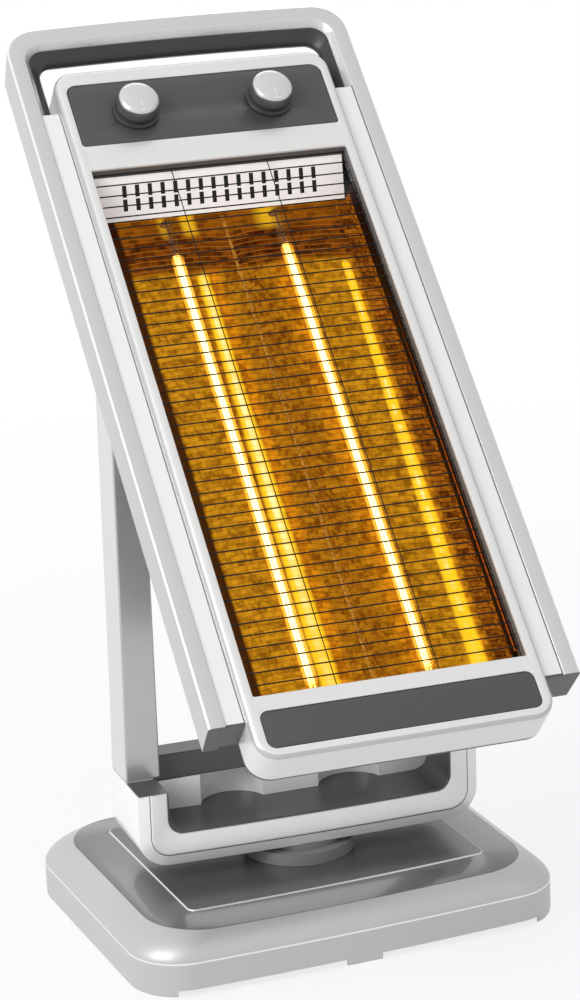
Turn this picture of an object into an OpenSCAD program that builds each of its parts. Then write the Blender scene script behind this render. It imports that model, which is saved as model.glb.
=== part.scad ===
/* [Pose] */
// Backward lean of the heater head from upright, as drawn
head_tilt = 48; // [20:1:54]
// Turn of the base under the stand, as drawn
base_turn = 3.5; // [-10:0.5:10]

/* [Base] */
// Half width of the base
base_half_w = 183; // [176:1:210]
// Half depth of the base at its corners
base_half_d = 140; // [130:1:160]
// Distance of the middle of the base behind the swivel
base_shift = 10; // [0:1:14]
// Forward bow of the long edges of the base
base_bow = 3; // [1:0.5:8]
// Plan radius of the base corners
base_corner_r = 44; // [38:1:58]
// Height of the upright skirt of the base
skirt_h = 28.5; // [26:0.5:36]
// Height of the sloping shoulder above the skirt
shoulder_h = 20; // [14:1:24]
// Width of the shoulder at the sides
shoulder_w = 20; // [16:1:26]
// Width of the shoulder at the front and the back
shoulder_d = 11; // [8:1:14]
// Plan radius of the corners of the top panel
panel_corner_r = 49; // [44:1:54]
// Wall of the base shell
base_wall = 2.4; // [1.8:0.1:3.2]
// Height of the relief between the foot tabs of the skirt
relief_h = 6; // [3:0.5:8]
// Half width of the middle foot tab
tab_half_w = 15; // [10:1:25]
// Width of the foot tabs at the corners
corner_tab_w = 26; // [20:1:34]
// Rise of the top panel from its rim to its middle
panel_rise = 4; // [2:0.5:6]
// Distance from the rim of the top panel to its raised middle
panel_slope_w = 34; // [24:1:38]
// Thickness of the bottom plate
bottom_plate_t = 2.4; // [1.8:0.1:4]
// Thickness of the ballast plate
ballast_t = 9; // [6:1:13]
// Distance of the ballast plate from the sides of the base
ballast_inset_x = 76; // [64:1:100]
// Distance of the ballast plate from the front and back of the base
ballast_inset_y = 60; // [52:1:76]
// Height of the rubber feet
foot_h = 6; // [4:0.5:8]
// Distance of the feet from the sides of the base
foot_inset_x = 30; // [24:1:40]
// Distance of the feet from the front and back of the base
foot_inset_y = 64; // [50:1:80]
// Diameter of the rubber feet
foot_d = 22; // [16:1:26]
// Distance of the shell screws from the sides of the base
screw_inset_x = 36; // [30:1:44]
// Distance of the shell screws from the front and back of the base
screw_inset_y = 38; // [30:1:44]
// Diameter of the shell screws
base_screw_d = 3.4; // [3:0.1:4.5]
// Bore of the cord gland
gland_bore = 7.4; // [6:0.1:9]

/* [Swivel] */
// Height from the base rim to the underside of the stand
swivel_gap = 19.5; // [16:0.5:24]
// Outer radius of the swivel collar
collar_r = 46; // [42:1:64]
// Outer radius of the swivel spindle
spindle_r = 20; // [16:1:24]
// Wall of the swivel spindle
spindle_wall = 4; // [3:0.5:5]
// Running clearance of the spindle in the collar
spindle_clear = 0.06; // [0.03:0.01:0.1]
// Gap between the collar and the flange of the stand
swivel_play = 0.1; // [0.05:0.05:0.3]

/* [Stand] */
// Half width of the stand and of the head frame
frame_half_w = 146; // [140:1:152]
// Depth of the stand from front to back
stand_depth = 76; // [74:1:90]
// Height of the lower bar of the stand
bar_h = 28.3; // [24:0.1:36]
// Height of the two front stubs above the lower bar
stub_h = 34.7; // [28:0.1:44]
// Radius of the outer lower corners of the stand
stand_corner_r = 26; // [18:1:28]
// Radius of the inner lower corners of the stand
stand_inner_r = 12; // [6:1:20]
// Downward bow of the lower bar
stand_bow = 1.2; // [0:0.1:2.5]
// Width of the bevel along the outer front edge
bevel_w = 10.8; // [6:0.1:13]
// Depth of that bevel
bevel_d = 4; // [2:0.5:6]
// Wall of the stand covers
cover_wall = 2.2; // [1.6:0.1:2.6]
// Thickness of the dark lining
liner_t = 1.6; // [1.2:0.1:2.4]
// Height of the rear wall between bar and crossbar
rear_wall_h = 25.7; // [18:0.1:30]
// Thickness of the rear wall
rear_wall_t = 1.8; // [1.2:0.1:2.4]
// Height of the rear crossbar
crossbar_h = 22; // [16:1:26]
// Front face of the crossbar, behind the middle of the stand
crossbar_front = 14; // [12:0.5:18]
// Radius of the two niches in the rear wall
niche_r = 28; // [22:1:28]
// Depth of the niches
niche_d = 20; // [10:0.5:20.5]
// Distance of the niches from the middle
niche_x = 51; // [40:1:60]
// Width of an arm from side to side
arm_w = 28.5; // [22:0.5:30]
// Depth of the steel core in an arm
core_d = 20; // [14:1:26]
// Wall of the steel cores and of the beam that joins them
core_wall = 3; // [2:0.5:4]
// Height of that beam
beam_h = 10; // [8:0.5:14]
// Height of the beam's top above the underside of the lower bar
beam_rise = 16; // [13:0.5:20]
// Set-in of the arm from the side of the stand
arm_inset = 1.5; // [1:0.5:6]
// Further set-in of the arm at its top
arm_taper = 1.5; // [0:0.1:2.5]
// Backward lean at which the head meets its stop
lean_max = 56; // [55:1:62]

/* [Tilt hinge] */
// Distance from the hinge axis to the back of the rails
hinge_offset = 6.8; // [6.4:0.1:9]
// Running gap between rails and arms
arm_gap = 0.4; // [0.3:0.1:1]
// Diameter of the hinge bolts
pivot_d = 8; // [6:0.5:8.5]
// Running clearance round a hinge bolt
pivot_clear = 0.06; // [0.03:0.01:0.1]
// Thickness of the steel tilt brackets
bracket_t = 2.5; // [2:0.1:3]
// Height of the tilt brackets
bracket_h = 60; // [40:1:80]
// Depth of the tilt brackets
bracket_d = 34; // [24:1:38]
// Thickness of the friction washers
washer_t = 2; // [1.5:0.1:2.5]
// Gap between a washer and its tilt bracket
washer_gap = 0.1; // [0.05:0.05:0.3]

/* [Head frame] */
// Distance from the hinge axis down to the end of the rails
rail_low = 293.4; // [280:0.1:305]
// Distance from the hinge axis up to the top of the frame's face
frame_top = 369.5; // [360:0.1:380]
// Upward bow of the top bar
frame_bow = 2; // [1:0.5:5]
// Outward flare of the face of the frame at its sides
frame_flare = 2.5; // [0.5:0.1:4]
// Depth of the frame
rail_depth = 35.5; // [34:0.5:38]
// Width of a rail beside the handle opening
rail_w = 15.7; // [15:0.1:18]
// Width of the top bar at the corners
top_bar_w = 19.2; // [17:0.1:24]
// Thickness of the top bar at its back
bar_back_t = 2.9; // [2.6:0.1:6]
// Width of the bevelled lip round the handle opening
lip_w = 4.5; // [3:0.1:6]
// Depth of that lip
lip_d = 6; // [4:0.5:7]
// Swell of the grip lining into the handle opening at the sides
grip_side = 8.3; // [4:0.1:9]
// Swell of the grip lining below the top bar
grip_drop = 11; // [6:0.1:12]
// Outer corner radius of the frame
frame_corner_r = 28; // [20:1:34]
// Inner corner radius of the frame
frame_inner_r = 14; // [8:1:18]
// Upper end of the strips beside the bezel
strip_top = 281; // [260:1:290]
// Recess of the strips behind the face of the frame
strip_recess = 2; // [1:0.5:5]
// Gap between the rail ends and the stubs when upright
seat_gap = 0.5; // [0.3:0.1:1.5]

/* [Bezel] */
// Distance from the side of the frame to the side of the bezel
bezel_inset = 26.9; // [26:0.1:32]
// Upper edge of the bezel above the hinge axis
bezel_top = 319; // [308:0.1:322]
// Gap between bezel and lower bar when upright
nest_gap = 1.8; // [1:0.1:4]
// Distance of the bezel face in front of the frame
bezel_proud = 4; // [2:0.5:6]
// Depth of the bezel skirt behind the frame face
bezel_skirt = 31; // [28:0.5:32]
// Corner radius of the bezel
bezel_corner_r = 18; // [12:1:24]
// Wall of the bezel
bezel_wall = 2.4; // [1.8:0.1:3]
// Width of the bezel beside the window
window_margin = 10; // [8:0.1:16]
// Upper edge of the window above the hinge axis
window_top = 216.6; // [205:0.1:222]
// Lower edge of the window below the hinge axis
window_low = 274.2; // [268:0.1:280]
// Depth of the return flange round the window
return_d = 11; // [8:0.5:14]

/* [Controls] */
// Height of the control panel
control_h = 63; // [52:1:66]
// Margin between control panel and bezel top
control_margin = 15; // [8:0.1:16]
// Width of the bezel beside the control panel
control_side = 8.9; // [7:0.1:14]
// Height of the lower trim panel
trim_h = 31.4; // [24:0.1:36]
// Margin between lower trim panel and bezel edge
trim_margin = 7.9; // [6:0.1:12]
// Distance of the knobs from the middle
knob_x = 57.5; // [46:0.5:66]
// Diameter of a knob
knob_d = 35; // [28:0.5:40]
// Height of a knob
knob_h = 18; // [14:0.5:24]
// Gap between a knob and the panel
knob_gap = 0.6; // [0.3:0.1:1.5]
// Diameter of the knob shafts
shaft_d = 6; // [5:0.1:7]
// Running clearance of a shaft in its bush
shaft_clear = 0.06; // [0.03:0.01:0.1]
// Fit gap round inlaid panels
inlay_gap = 0.2; // [0.1:0.05:0.4]

/* [Heating] */
// Distance of the lamps from the middle of their reflectors
lamp_shift = 4; // [0:0.5:6]
// Depth of the lamp axis behind the frame face
lamp_depth = 38; // [34:0.5:38.5]
// Outer diameter of the quartz tubes
tube_d = 11; // [9:0.5:13]
// Wall of the quartz tubes
tube_wall = 1; // [0.8:0.1:1.4]
// Width of the ceramic lamp ends
cap_w = 13; // [12.6:0.1:16]
// Height of the ceramic lamp ends
cap_h = 22; // [16:1:26]
// Diameter of the heating filament
filament_d = 5; // [3:0.5:7]
// Upper end of the reflectors above the hinge axis
reflector_top = 186; // [175:1:190]
// Lower end of the reflectors below the hinge axis
reflector_low = 262; // [250:1:264]
// Gap between the reflectors and the walls of the housing
reflector_gap = 4; // [3.5:0.1:8]
// Depth of the rim of the reflectors behind the frame face
reflector_inset = 34; // [33.5:0.5:37]
// Depth of one reflector trough
trough_d = 26; // [18:1:28]
// Thickness of the reflector sheet
sheet_t = 0.8; // [0.6:0.1:1]
// Pitch of the guard wires
wire_pitch = 10.5; // [9:0.1:14]
// Diameter of the guard wires
wire_d = 1.8; // [1.4:0.1:2.4]
// Depth of the guard behind the frame face
guard_inset = 3; // [2.5:0.5:6]
// Distance of the upright guard wires from the middle
wire_x = 41; // [30:1:50]
// Number of slots in a row of the air plate
slot_count = 16; // [10:1:18]
// Width of an air slot
slot_w = 4; // [3:0.5:5]
// Length of an air slot
slot_l = 10; // [7:0.5:12]
// Margin between the slots and the ends of the air plate
slot_margin = 20; // [6:1:24]

/* [Housing] */
// Distance from the side of the frame to the side of the rear housing
housing_inset = 40; // [40:0.5:43]
// Depth of the rear housing behind the frame face
housing_depth = 96; // [88:1:100]
// Upper end of the rear housing above the hinge axis
housing_top = 296; // [270:1:300]
// Wall of the rear housing
housing_wall = 2.2; // [1.8:0.1:3]
// Distance from the side of the housing to the grille
grille_inset = 28; // [22:1:46]
// Lower end of the rear grille below the hinge axis
grille_drop = 190; // [150:1:200]
// Upper end of the rear grille above the hinge axis
grille_top = 230; // [180:1:240]
// Width of a louvre slot in the rear grille
louvre_w = 4; // [3:0.5:5]
// Pitch of the louvre slots
louvre_pitch = 14; // [10:0.5:20]

/* [Hidden] */
base_top = skirt_h + shoulder_h;
ballast_half_w = base_half_w - ballast_inset_x;
ballast_half_d = base_half_d - ballast_inset_y;
bezel_half_w = frame_half_w - bezel_inset;
housing_half_w = frame_half_w - housing_inset;
panel_floor = base_top - base_wall;
panel_top = base_top + panel_rise;
bar_low = base_top + swivel_gap;
bar_top = bar_low + bar_h;
stub_top = bar_top + stub_h;
stand_front = -stand_depth / 2;
stand_back = stand_depth / 2;
crossbar_low = bar_top + rear_wall_h;
crossbar_top = crossbar_low + crossbar_h;
pivot_y = stand_front + rail_depth + hinge_offset;
pivot_z = stub_top + seat_gap + rail_low;
face_y = -(rail_depth + hinge_offset);
arm_front = pivot_y - hinge_offset + arm_gap;
arm_out = frame_half_w - arm_inset;
arm_in = arm_out - arm_w;
inner_half_w = frame_half_w - 25.7;
bezel_low = pivot_z - bar_top - nest_gap;
opening_half_w = frame_half_w - rail_w;
opening_top = frame_top - top_bar_w;
back_rise = 3.8;
corner_drop = 10;
lining_t = 0.5;
back_top = opening_top + back_rise + bar_back_t;
strip_half_w = opening_half_w + lip_w;
window_half_w = bezel_half_w - window_margin;
control_top = bezel_top - control_margin;
control_low = control_top - control_h;
control_half_w = bezel_half_w - control_side;
knob_z = (control_top + control_low) / 2;
trim_low = bezel_low - trim_margin;
plate_n = bezel_proud - bezel_wall;
reflector_front = -reflector_inset;
reflector_half_w = housing_half_w / 2 - reflector_gap;
reflector_x = reflector_half_w + 2;
lamp_x = reflector_x - lamp_shift;
trough_r = (reflector_half_w * reflector_half_w + trough_d * trough_d) / (2 * trough_d);
grille_half_w = housing_half_w - grille_inset;
grille_low = -grille_drop;
trough_back = reflector_front - trough_d - sheet_t;
back_plate_t = 2;
flange_t = 2;
flange_back = -(bezel_skirt + flange_t);
housing_inner_w = housing_half_w - housing_wall;
cut_far = 60;
spindle_flange_h = 4;
spindle_flange_low = bar_low - stand_bow - spindle_flange_h;
collar_neck_r = spindle_r + 6;
collar_top = spindle_flange_low - swivel_play;
collar_low = panel_floor - base_wall - 12;
floor_top = foot_h + bottom_plate_t;
rim_w = shoulder_d + 1;
boss_r = 5;
foot_x = base_half_w - foot_inset_x;
foot_y = base_half_d - foot_inset_y;
gland_x = 80;
gland_z = (floor_top + skirt_h) / 2;
gland_flange_r = gland_bore / 2 + 5;
gland_neck_r = gland_bore / 2 + 3;
screw_x = base_half_w - screw_inset_x;
screw_y = base_half_d - screw_inset_y;
bracket_out = housing_half_w + bracket_t;
washer_out = bracket_out + washer_gap + washer_t;
core_in = inner_half_w + liner_t + cover_wall + 0.4;
core_w = arm_out - arm_taper - cover_wall - 0.6 - core_in;
core_y = arm_front + cover_wall + 0.4;
beam_top = bar_low + beam_rise;
foot_l = 18;
housing_low = reflector_low + 4;
step_low = housing_low + 28;
step_back = crossbar_front - stand_front - 4.5;
guard_n = -guard_inset;
boss_x = bezel_half_w - 6.7;
cap_z = reflector_top + 2;
cap_low_z = -reflector_low - 2 - cap_h;
tube_gap = 0.5;
end_gap = 2;
end_t = 1;
shield_n = trough_back - 4;
knob_n = bezel_proud + knob_gap;

silver = [0.82, 0.83, 0.84];
pale = [0.90, 0.90, 0.89];
dark = [0.30, 0.30, 0.31];
black = [0.10, 0.10, 0.10];
gold = [0.78, 0.52, 0.18];
steel = [0.62, 0.63, 0.65];
ceramic = [0.93, 0.91, 0.86];

// Points of an arc about [cx, cz]
function arc(cx, cz, r, a0, a1, n = 6) =
    [for (i = [0:n]) let (a = a0 + (a1 - a0) * i / n) [cx + r * cos(a), cz + r * sin(a)]];

// Rounded outline of half width w between z0 and z1, with bowed upper and lower edges
function outline(w, z0, z1, rb, rt, bow_t = 0, bow_b = 0, n = 6, m = 8) = concat(
    arc(w - rt, z1 - rt, rt, 0, 90, n),
    [for (i = [1:m - 1]) let (t = 1 - 2 * i / m) [t * (w - rt), z1 + bow_t * (1 - t * t)]],
    arc(rt - w, z1 - rt, rt, 90, 180, n),
    arc(rb - w, z0 + rb, rb, 180, 270, n),
    [for (i = [1:m - 1]) let (t = 2 * i / m - 1) [t * (w - rb), z0 - bow_b * (1 - t * t)]],
    arc(w - rb, z0 + rb, rb, 270, 360, n));

// Solid through rings of equal point count, each ring being [y, points in x and z]
module loft(rings) {
    n = len(rings[0][1]);
    k = len(rings);
    polyhedron(
        points = [for (r = rings) for (p = r[1]) [p[0], r[0], p[1]]],
        faces = concat(
            [[for (i = [0:n - 1]) n - 1 - i]],
            [for (j = [0:k - 2]) for (i = [0:n - 1])
                [j * n + i, j * n + (i + 1) % n, (j + 1) * n + (i + 1) % n, (j + 1) * n + i]],
            [[for (i = [0:n - 1]) (k - 1) * n + i]]));
}

// The same solid standing up, its rings being [z, points in x and -y]
module loft_up(rings) {
    rotate([90, 0, 0])
        loft(rings);
}

// Plate with an outline in x and z between two y planes
module slab(y0, y1, points) {
    translate([0, y1, 0])
        rotate([90, 0, 0])
            linear_extrude(y1 - y0)
                polygon(points);
}

// Lying plate with an outline in x and -y between two heights
module flat(z0, z1, points) {
    translate([0, 0, z0])
        mirror([0, 1, 0])
            linear_extrude(z1 - z0)
                polygon(points);
}

module at_head() {
    translate([0, pivot_y, pivot_z])
        rotate([-head_tilt, 0, 0])
            children();
}

// Head plate between two depths n, counted forward from the face of the frame
module head_slab(n_front, n_rear, points) {
    slab(face_y - n_front, face_y - n_rear, points);
}

module head_loft(rings) {
    loft([for (r = rings) [face_y - r[0], r[1]]]);
}

module x_rod(x0, x1, r) {
    translate([x0, 0, 0])
        rotate([0, 90, 0])
            cylinder(h = x1 - x0, r = r, $fn = 48);
}

// Rod along the head's depth at x and z, between two depths n
module n_rod(x, z, n_front, n_rear, r) {
    translate([x, face_y - n_rear, z])
        rotate([90, 0, 0])
            cylinder(h = n_front - n_rear, r = r, $fn = 48);
}

module at_base() {
    rotate([0, 0, base_turn])
        translate([0, base_shift, 0])
            children();
}

// Outline of the base, set in by inset and further at its sides, its corner radius going
// from the skirt's to the panel's as blend goes from 0 to 1
function base_ring(inset, side = 0, blend = 0) = let (
        r = (base_corner_r - inset) * (1 - blend) + panel_corner_r * blend)
    outline(base_half_w - inset - side, inset - base_half_d, base_half_d - inset, r, r,
        base_bow, base_bow);

module base_screw_places() {
    for (x = [-screw_x, screw_x])
        for (y = [-screw_y, screw_y])
            translate([x, y, 0])
                children();
}

module shell_skin() {
    side = shoulder_w - rim_w;
    difference() {
        loft_up([[1, base_ring(0.8)], [3, base_ring(0)], [skirt_h, base_ring(0)],
            [skirt_h + shoulder_h * 0.55, base_ring(rim_w * 0.36, side * 0.36, 0.36)],
            [base_top, base_ring(rim_w, side, 1)]]);
        loft_up([[-1, base_ring(base_wall)], [skirt_h - base_wall, base_ring(base_wall)],
            [panel_floor - base_wall, base_ring(rim_w + base_wall, side, 1)]]);
        flat(panel_floor, base_top + 1, panel_ring(0));
    }
}

module base_shell() {
    relief_x = base_half_w - corner_tab_w;
    color(silver)
        difference() {
            at_base()
                difference() {
                    union() {
                        shell_skin();
                        base_screw_places()
                            translate([0, 0, floor_top])
                                cylinder(h = panel_floor - floor_top - 1, r = boss_r, $fn = 32);
                    }
                    base_screw_places()
                        translate([0, 0, foot_h])
                            cylinder(h = 16, r = base_screw_d / 2, $fn = 24);
                    for (x0 = [tab_half_w, -relief_x])
                        translate([x0, -base_half_d - base_bow - 1, 0])
                            cube([relief_x - tab_half_w, 2 * (base_half_d + base_bow + 1), relief_h]);
                    translate([gland_x, base_half_d - 12, gland_z])
                        rotate([-90, 0, 0])
                            cylinder(h = 30, r = gland_neck_r + inlay_gap, $fn = 40);
                }
            translate([0, 0, panel_floor - base_wall - 1])
                cylinder(h = base_wall + 2, r = collar_neck_r + inlay_gap, $fn = 64);
        }
}

// Rim of the top panel, set in by k
function panel_ring(k) = let (r = max(panel_corner_r - k * 1.25, 2))
    outline(base_half_w - shoulder_w - k, shoulder_d + k - base_half_d,
        base_half_d - shoulder_d - k, r, r, base_bow, base_bow);

module base_top_panel() {
    color([0.42, 0.42, 0.43])
        difference() {
            at_base()
                loft_up([[panel_floor, panel_ring(inlay_gap)], [base_top, panel_ring(inlay_gap)],
                    [base_top + 0.6, panel_ring(1)],
                    [panel_top - 0.8, panel_ring(panel_slope_w - 1.5)],
                    [panel_top, panel_ring(panel_slope_w)]]);
            translate([0, 0, panel_floor - 1])
                cylinder(h = 20, r = collar_neck_r + inlay_gap, $fn = 64);
        }
}

module base_bottom_plate() {
    color(black)
        at_base()
            difference() {
                flat(foot_h, floor_top, base_ring(base_wall + inlay_gap));
                base_screw_places()
                    translate([0, 0, foot_h - 1])
                        cylinder(h = bottom_plate_t + 2, r = base_screw_d / 2 + 0.2, $fn = 24);
            }
}

module ballast_plate() {
    color(steel)
        difference() {
            at_base()
                flat(floor_top, floor_top + ballast_t,
                    outline(ballast_half_w, -ballast_half_d, ballast_half_d, 12, 12));
            translate([0, 0, foot_h])
                cylinder(h = 30, r = spindle_r + 12, $fn = 64);
        }
}

module base_feet() {
    color(black) {
        cylinder(h = foot_h, d = foot_d, $fn = 40);
        at_base()
            for (x = [-foot_x, foot_x])
                for (y = [-foot_y, foot_y])
                    translate([x, y, 0])
                        cylinder(h = foot_h, d = foot_d, $fn = 40);
    }
}

module base_screws() {
    color(steel)
        at_base()
            base_screw_places() {
                translate([0, 0, foot_h - 2.2])
                    cylinder(h = 2.2, r = base_screw_d, $fn = 32);
                translate([0, 0, foot_h - 0.5])
                    cylinder(h = 14, r = base_screw_d / 2 - 0.02, $fn = 24);
            }
}

module tip_over_switch() {
    color(black)
        at_base()
            translate([-ballast_half_w - 42, 10, floor_top]) {
                cube([28, 24, 17]);
                translate([14, 12, 17])
                    cylinder(h = 4, r = 7, $fn = 32);
            }
}

module base_terminal_block() {
    color(pale)
        at_base()
            translate([gland_x - 20, ballast_half_d + 2, floor_top])
                difference() {
                    cube([36, 14, 15]);
                    for (i = [0:2])
                        translate([7 + 11 * i, 7, 9])
                            cylinder(h = 10, r = 3, $fn = 24);
                }
}

module cord_gland() {
    wall_y = base_half_d + base_bow * (1 - pow(gland_x / (base_half_w - base_corner_r), 2));
    color(black)
        at_base()
            translate([gland_x, wall_y, gland_z])
                rotate([-90, 0, 0])
                    difference() {
                        union() {
                            translate([0, 0, -base_wall - 2.2])
                                cylinder(h = 11, r = gland_neck_r, $fn = 40);
                            translate([0, 0, 1.2])
                                cylinder(h = 3, r = gland_flange_r, $fn = 40);
                            translate([0, 0, -base_wall - 4.8])
                                cylinder(h = 2.6, r = gland_flange_r, $fn = 6);
                        }
                        translate([0, 0, -base_wall - 6])
                            cylinder(h = 20, r = gland_bore / 2, $fn = 40);
                    }
}

module swivel_collar() {
    color(black)
        difference() {
            union() {
                translate([0, 0, panel_top])
                    cylinder(h = collar_top - panel_top, r = collar_r, $fn = 96);
                translate([0, 0, collar_low])
                    cylinder(h = panel_top - collar_low + 1, r = collar_neck_r, $fn = 64);
            }
            translate([0, 0, collar_low - 1])
                cylinder(h = 60, r = spindle_r + spindle_clear, $fn = 64);
        }
}

module swivel_spindle() {
    color(steel)
        difference() {
            union() {
                translate([0, 0, spindle_flange_low])
                    cylinder(h = spindle_flange_h, r = stand_back - back_plate_t, $fn = 64);
                translate([0, 0, collar_low - 8])
                    cylinder(h = beam_top - 2 - collar_low, r = spindle_r, $fn = 64);
            }
            translate([0, 0, collar_low - 10])
                cylinder(h = 90, r = spindle_r - spindle_wall, $fn = 64);
        }
}

module spindle_nut() {
    color(steel)
        translate([0, 0, collar_low - 6.3])
            difference() {
                cylinder(h = 6, r = spindle_r + 8, $fn = 6);
                translate([0, 0, -1])
                    cylinder(h = 8, r = spindle_r, $fn = 64);
            }
}

function stand_outline(k, top = 0) = outline(frame_half_w - k, bar_low + k, stub_top + top,
    stand_corner_r - k, 0.4, 0, stand_bow);
function stand_inner(k) = outline(inner_half_w - k, bar_top + k, stub_top + 20,
    max(stand_inner_r - k, 1), 0.4, 0, stand_bow * 0.7);

module stand_cover() {
    gap = liner_t;
    color(silver)
        difference() {
            loft([[stand_front, stand_outline(bevel_w)], [stand_front + bevel_d, stand_outline(0)],
                [stand_back - back_plate_t, stand_outline(0)]]);
            slab(stand_front - 1, stand_back + 1, stand_inner(-gap));
            difference() {
                slab(stand_front + bevel_d + cover_wall, stand_back + 1,
                    stand_outline(cover_wall, -cover_wall));
                slab(stand_front, stand_back + 2, stand_inner(-gap - cover_wall));
            }
            translate([0, 0, bar_low - 5])
                cylinder(h = 12, r = spindle_r + 0.4, $fn = 64);
            for (s = [-1, 1])
                translate([s > 0 ? core_in - 0.3 : -core_in - core_w - 0.3, core_y - 0.3, stub_top - 9])
                    cube([core_w + 0.6, core_d + 0.6, 20]);
        }
}

module stand_back_plate() {
    color(silver)
        difference() {
            slab(stand_back - back_plate_t, stand_back, stand_outline(0));
            slab(stand_back - 3, stand_back + 1, stand_inner(-liner_t));
        }
}

module stand_lining() {
    color(dark)
        difference() {
            slab(stand_front + 1.5, stand_back, outline(inner_half_w + liner_t, bar_top - liner_t,
                stub_top, stand_inner_r + liner_t, 0.4, 0, stand_bow * 0.7));
            slab(stand_front, stand_back + 1, stand_inner(0));
        }
}

module stub_caps() {
    color(dark)
        for (s = [-1, 1])
            translate([s > 0 ? inner_half_w + liner_t : -frame_half_w, stand_front + 2, stub_top])
                cube([frame_half_w - inner_half_w - liner_t, arm_front - stand_front - 3, 0.3]);
}

module rear_wall_plan() {
    niche_y = crossbar_front - niche_r + niche_d;
    difference() {
        union() {
            translate([-inner_half_w, crossbar_front])
                square([2 * inner_half_w, rear_wall_t]);
            for (x = [-niche_x, niche_x])
                translate([x, niche_y])
                    circle(r = niche_r + rear_wall_t, $fn = 72);
        }
        for (x = [-niche_x, niche_x])
            translate([x, niche_y])
                circle(r = niche_r, $fn = 72);
        translate([-inner_half_w - 1, crossbar_front - 60])
            square([2 * inner_half_w + 2, 60]);
    }
}

module stand_rear_wall() {
    color([0.66, 0.67, 0.68])
        intersection() {
            translate([0, 0, bar_top - stand_bow])
                linear_extrude(rear_wall_h + stand_bow)
                    rear_wall_plan();
            slab(crossbar_front - 1, stand_back, stand_inner(0));
        }
}

module crossbar() {
    color(dark)
        difference() {
            translate([-arm_in, crossbar_front, crossbar_low])
                cube([2 * arm_in, stand_back - crossbar_front, crossbar_h]);
            translate([-arm_in + 2, crossbar_front + 2, crossbar_low + 2])
                cube([2 * arm_in - 4, stand_back - crossbar_front, crossbar_h - 4]);
        }
}

// Side view of an arm in y and z, set in by k, with its top cut to the leaning head
function arm_profile(k, low) = let (
        r = hinge_offset - arm_gap - k,
        back = stand_back - 1 - k,
        reach = back - pivot_y - 6,
        rise = (r + reach * cos(lean_max)) / sin(lean_max))
    concat(
        [[pivot_y - r, low]],
        [for (i = [0:6]) let (a = 180 - lean_max * i / 6)
            [pivot_y + r * cos(a), pivot_z + r * sin(a)]],
        [[pivot_y + reach, pivot_z + rise], [back, pivot_z + rise - 6], [back, low]]);

module arm_side(k, low, x0, x1) {
    translate([x0, 0, 0])
        rotate([90, 0, 90])
            linear_extrude(x1 - x0)
                polygon(arm_profile(k, low));
}

// Plan of the right arm at one height, reaching outward to x
function arm_plan(out) =
    [for (p = outline((out - arm_in) / 2, 1 - stand_back, -arm_front, 5, 5, 0, 0, 4, 2))
        [p[0] + (out + arm_in) / 2, p[1]]];

module arm_cover() {
    difference() {
        union() {
            arm_skin();
            translate([0, pivot_y, pivot_z])
                x_rod(washer_out, arm_in + 1, hinge_offset + 1.2);
        }
        arm_side(cover_wall, stub_top - 1, arm_in + cover_wall, core_in + core_w + 0.6);
        translate([0, pivot_y, pivot_z])
            x_rod(washer_out - 1, arm_in + cover_wall + 1, pivot_d / 2 + 0.3);
    }
}

module arm_skin() {
    intersection() {
        loft_up([[stub_top, arm_plan(frame_half_w - 0.3)],
            [stub_top + 22, arm_plan(arm_out + 0.8)],
            [stub_top + 70, arm_plan(arm_out)],
            [pivot_z + 60, arm_plan(arm_out - arm_taper)]]);
        arm_side(0, stub_top - 1, arm_in - 5, frame_half_w + 5);
    }
}

module arm_core() {
    difference() {
        union() {
            intersection() {
                arm_side(cover_wall + 0.4, beam_top, core_in, core_in + core_w);
                translate([core_in - 1, core_y, 0])
                    cube([core_w + 2, core_d, pivot_z + 14]);
            }
            translate([core_in - foot_l, core_y, beam_top])
                cube([foot_l + 1, core_d, core_wall + 2]);
        }
        translate([core_in + core_wall, core_y + core_wall, beam_top + core_wall + 2])
            cube([core_w, core_d, pivot_z - beam_top - 22]);
        translate([0, pivot_y, pivot_z])
            x_rod(core_in - 5, core_in + core_w + 5, pivot_d / 2);
    }
}

module stand_beam() {
    color(steel)
        difference() {
            translate([-core_in - core_wall, core_y, beam_top - beam_h])
                cube([2 * (core_in + core_wall), core_d, beam_h]);
            translate([-core_in - core_wall - 1, core_y + core_wall, beam_top - beam_h - 1])
                cube([2 * (core_in + core_wall + 1), core_d - 2 * core_wall, beam_h + 1 - core_wall]);
        }
}

module left_arm_cover() {
    color(silver)
        mirror([1, 0, 0])
            arm_cover();
}

module right_arm_cover() {
    color(silver)
        arm_cover();
}

module left_arm_core() {
    color(steel)
        mirror([1, 0, 0])
            arm_core();
}

module right_arm_core() {
    color(steel)
        arm_core();
}

module pivot_bolts() {
    color(steel)
        for (s = [0, 1])
            mirror([s, 0, 0])
                translate([0, pivot_y, pivot_z]) {
                    x_rod(housing_inner_w - 3.2, housing_inner_w - 0.2,
                        pivot_d / 2 + 2.5);
                    x_rod(housing_inner_w - 1, core_in + core_w - 1, pivot_d / 2);
                }
}

module friction_washers() {
    color(black)
        for (s = [0, 1])
            mirror([s, 0, 0])
                translate([0, pivot_y, pivot_z])
                    difference() {
                        x_rod(bracket_out + washer_gap, washer_out, pivot_d / 2 + 4.5);
                        x_rod(bracket_out - 1, washer_out + 1, pivot_d / 2 + 0.2);
                    }
}

// Outline of the head frame at depth n, set in by k, its lower end raised by lift
function frame_ring(n, k, lift = 0) = let (t = -n / rail_depth)
    outline(frame_half_w + frame_flare * (1 - 0.7 * t) - k, lift - rail_low,
        frame_top + (back_top - frame_top) * t - k, 0.4, frame_corner_r - corner_drop * t - k,
        frame_bow * (1 - 0.5 * t));

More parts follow.
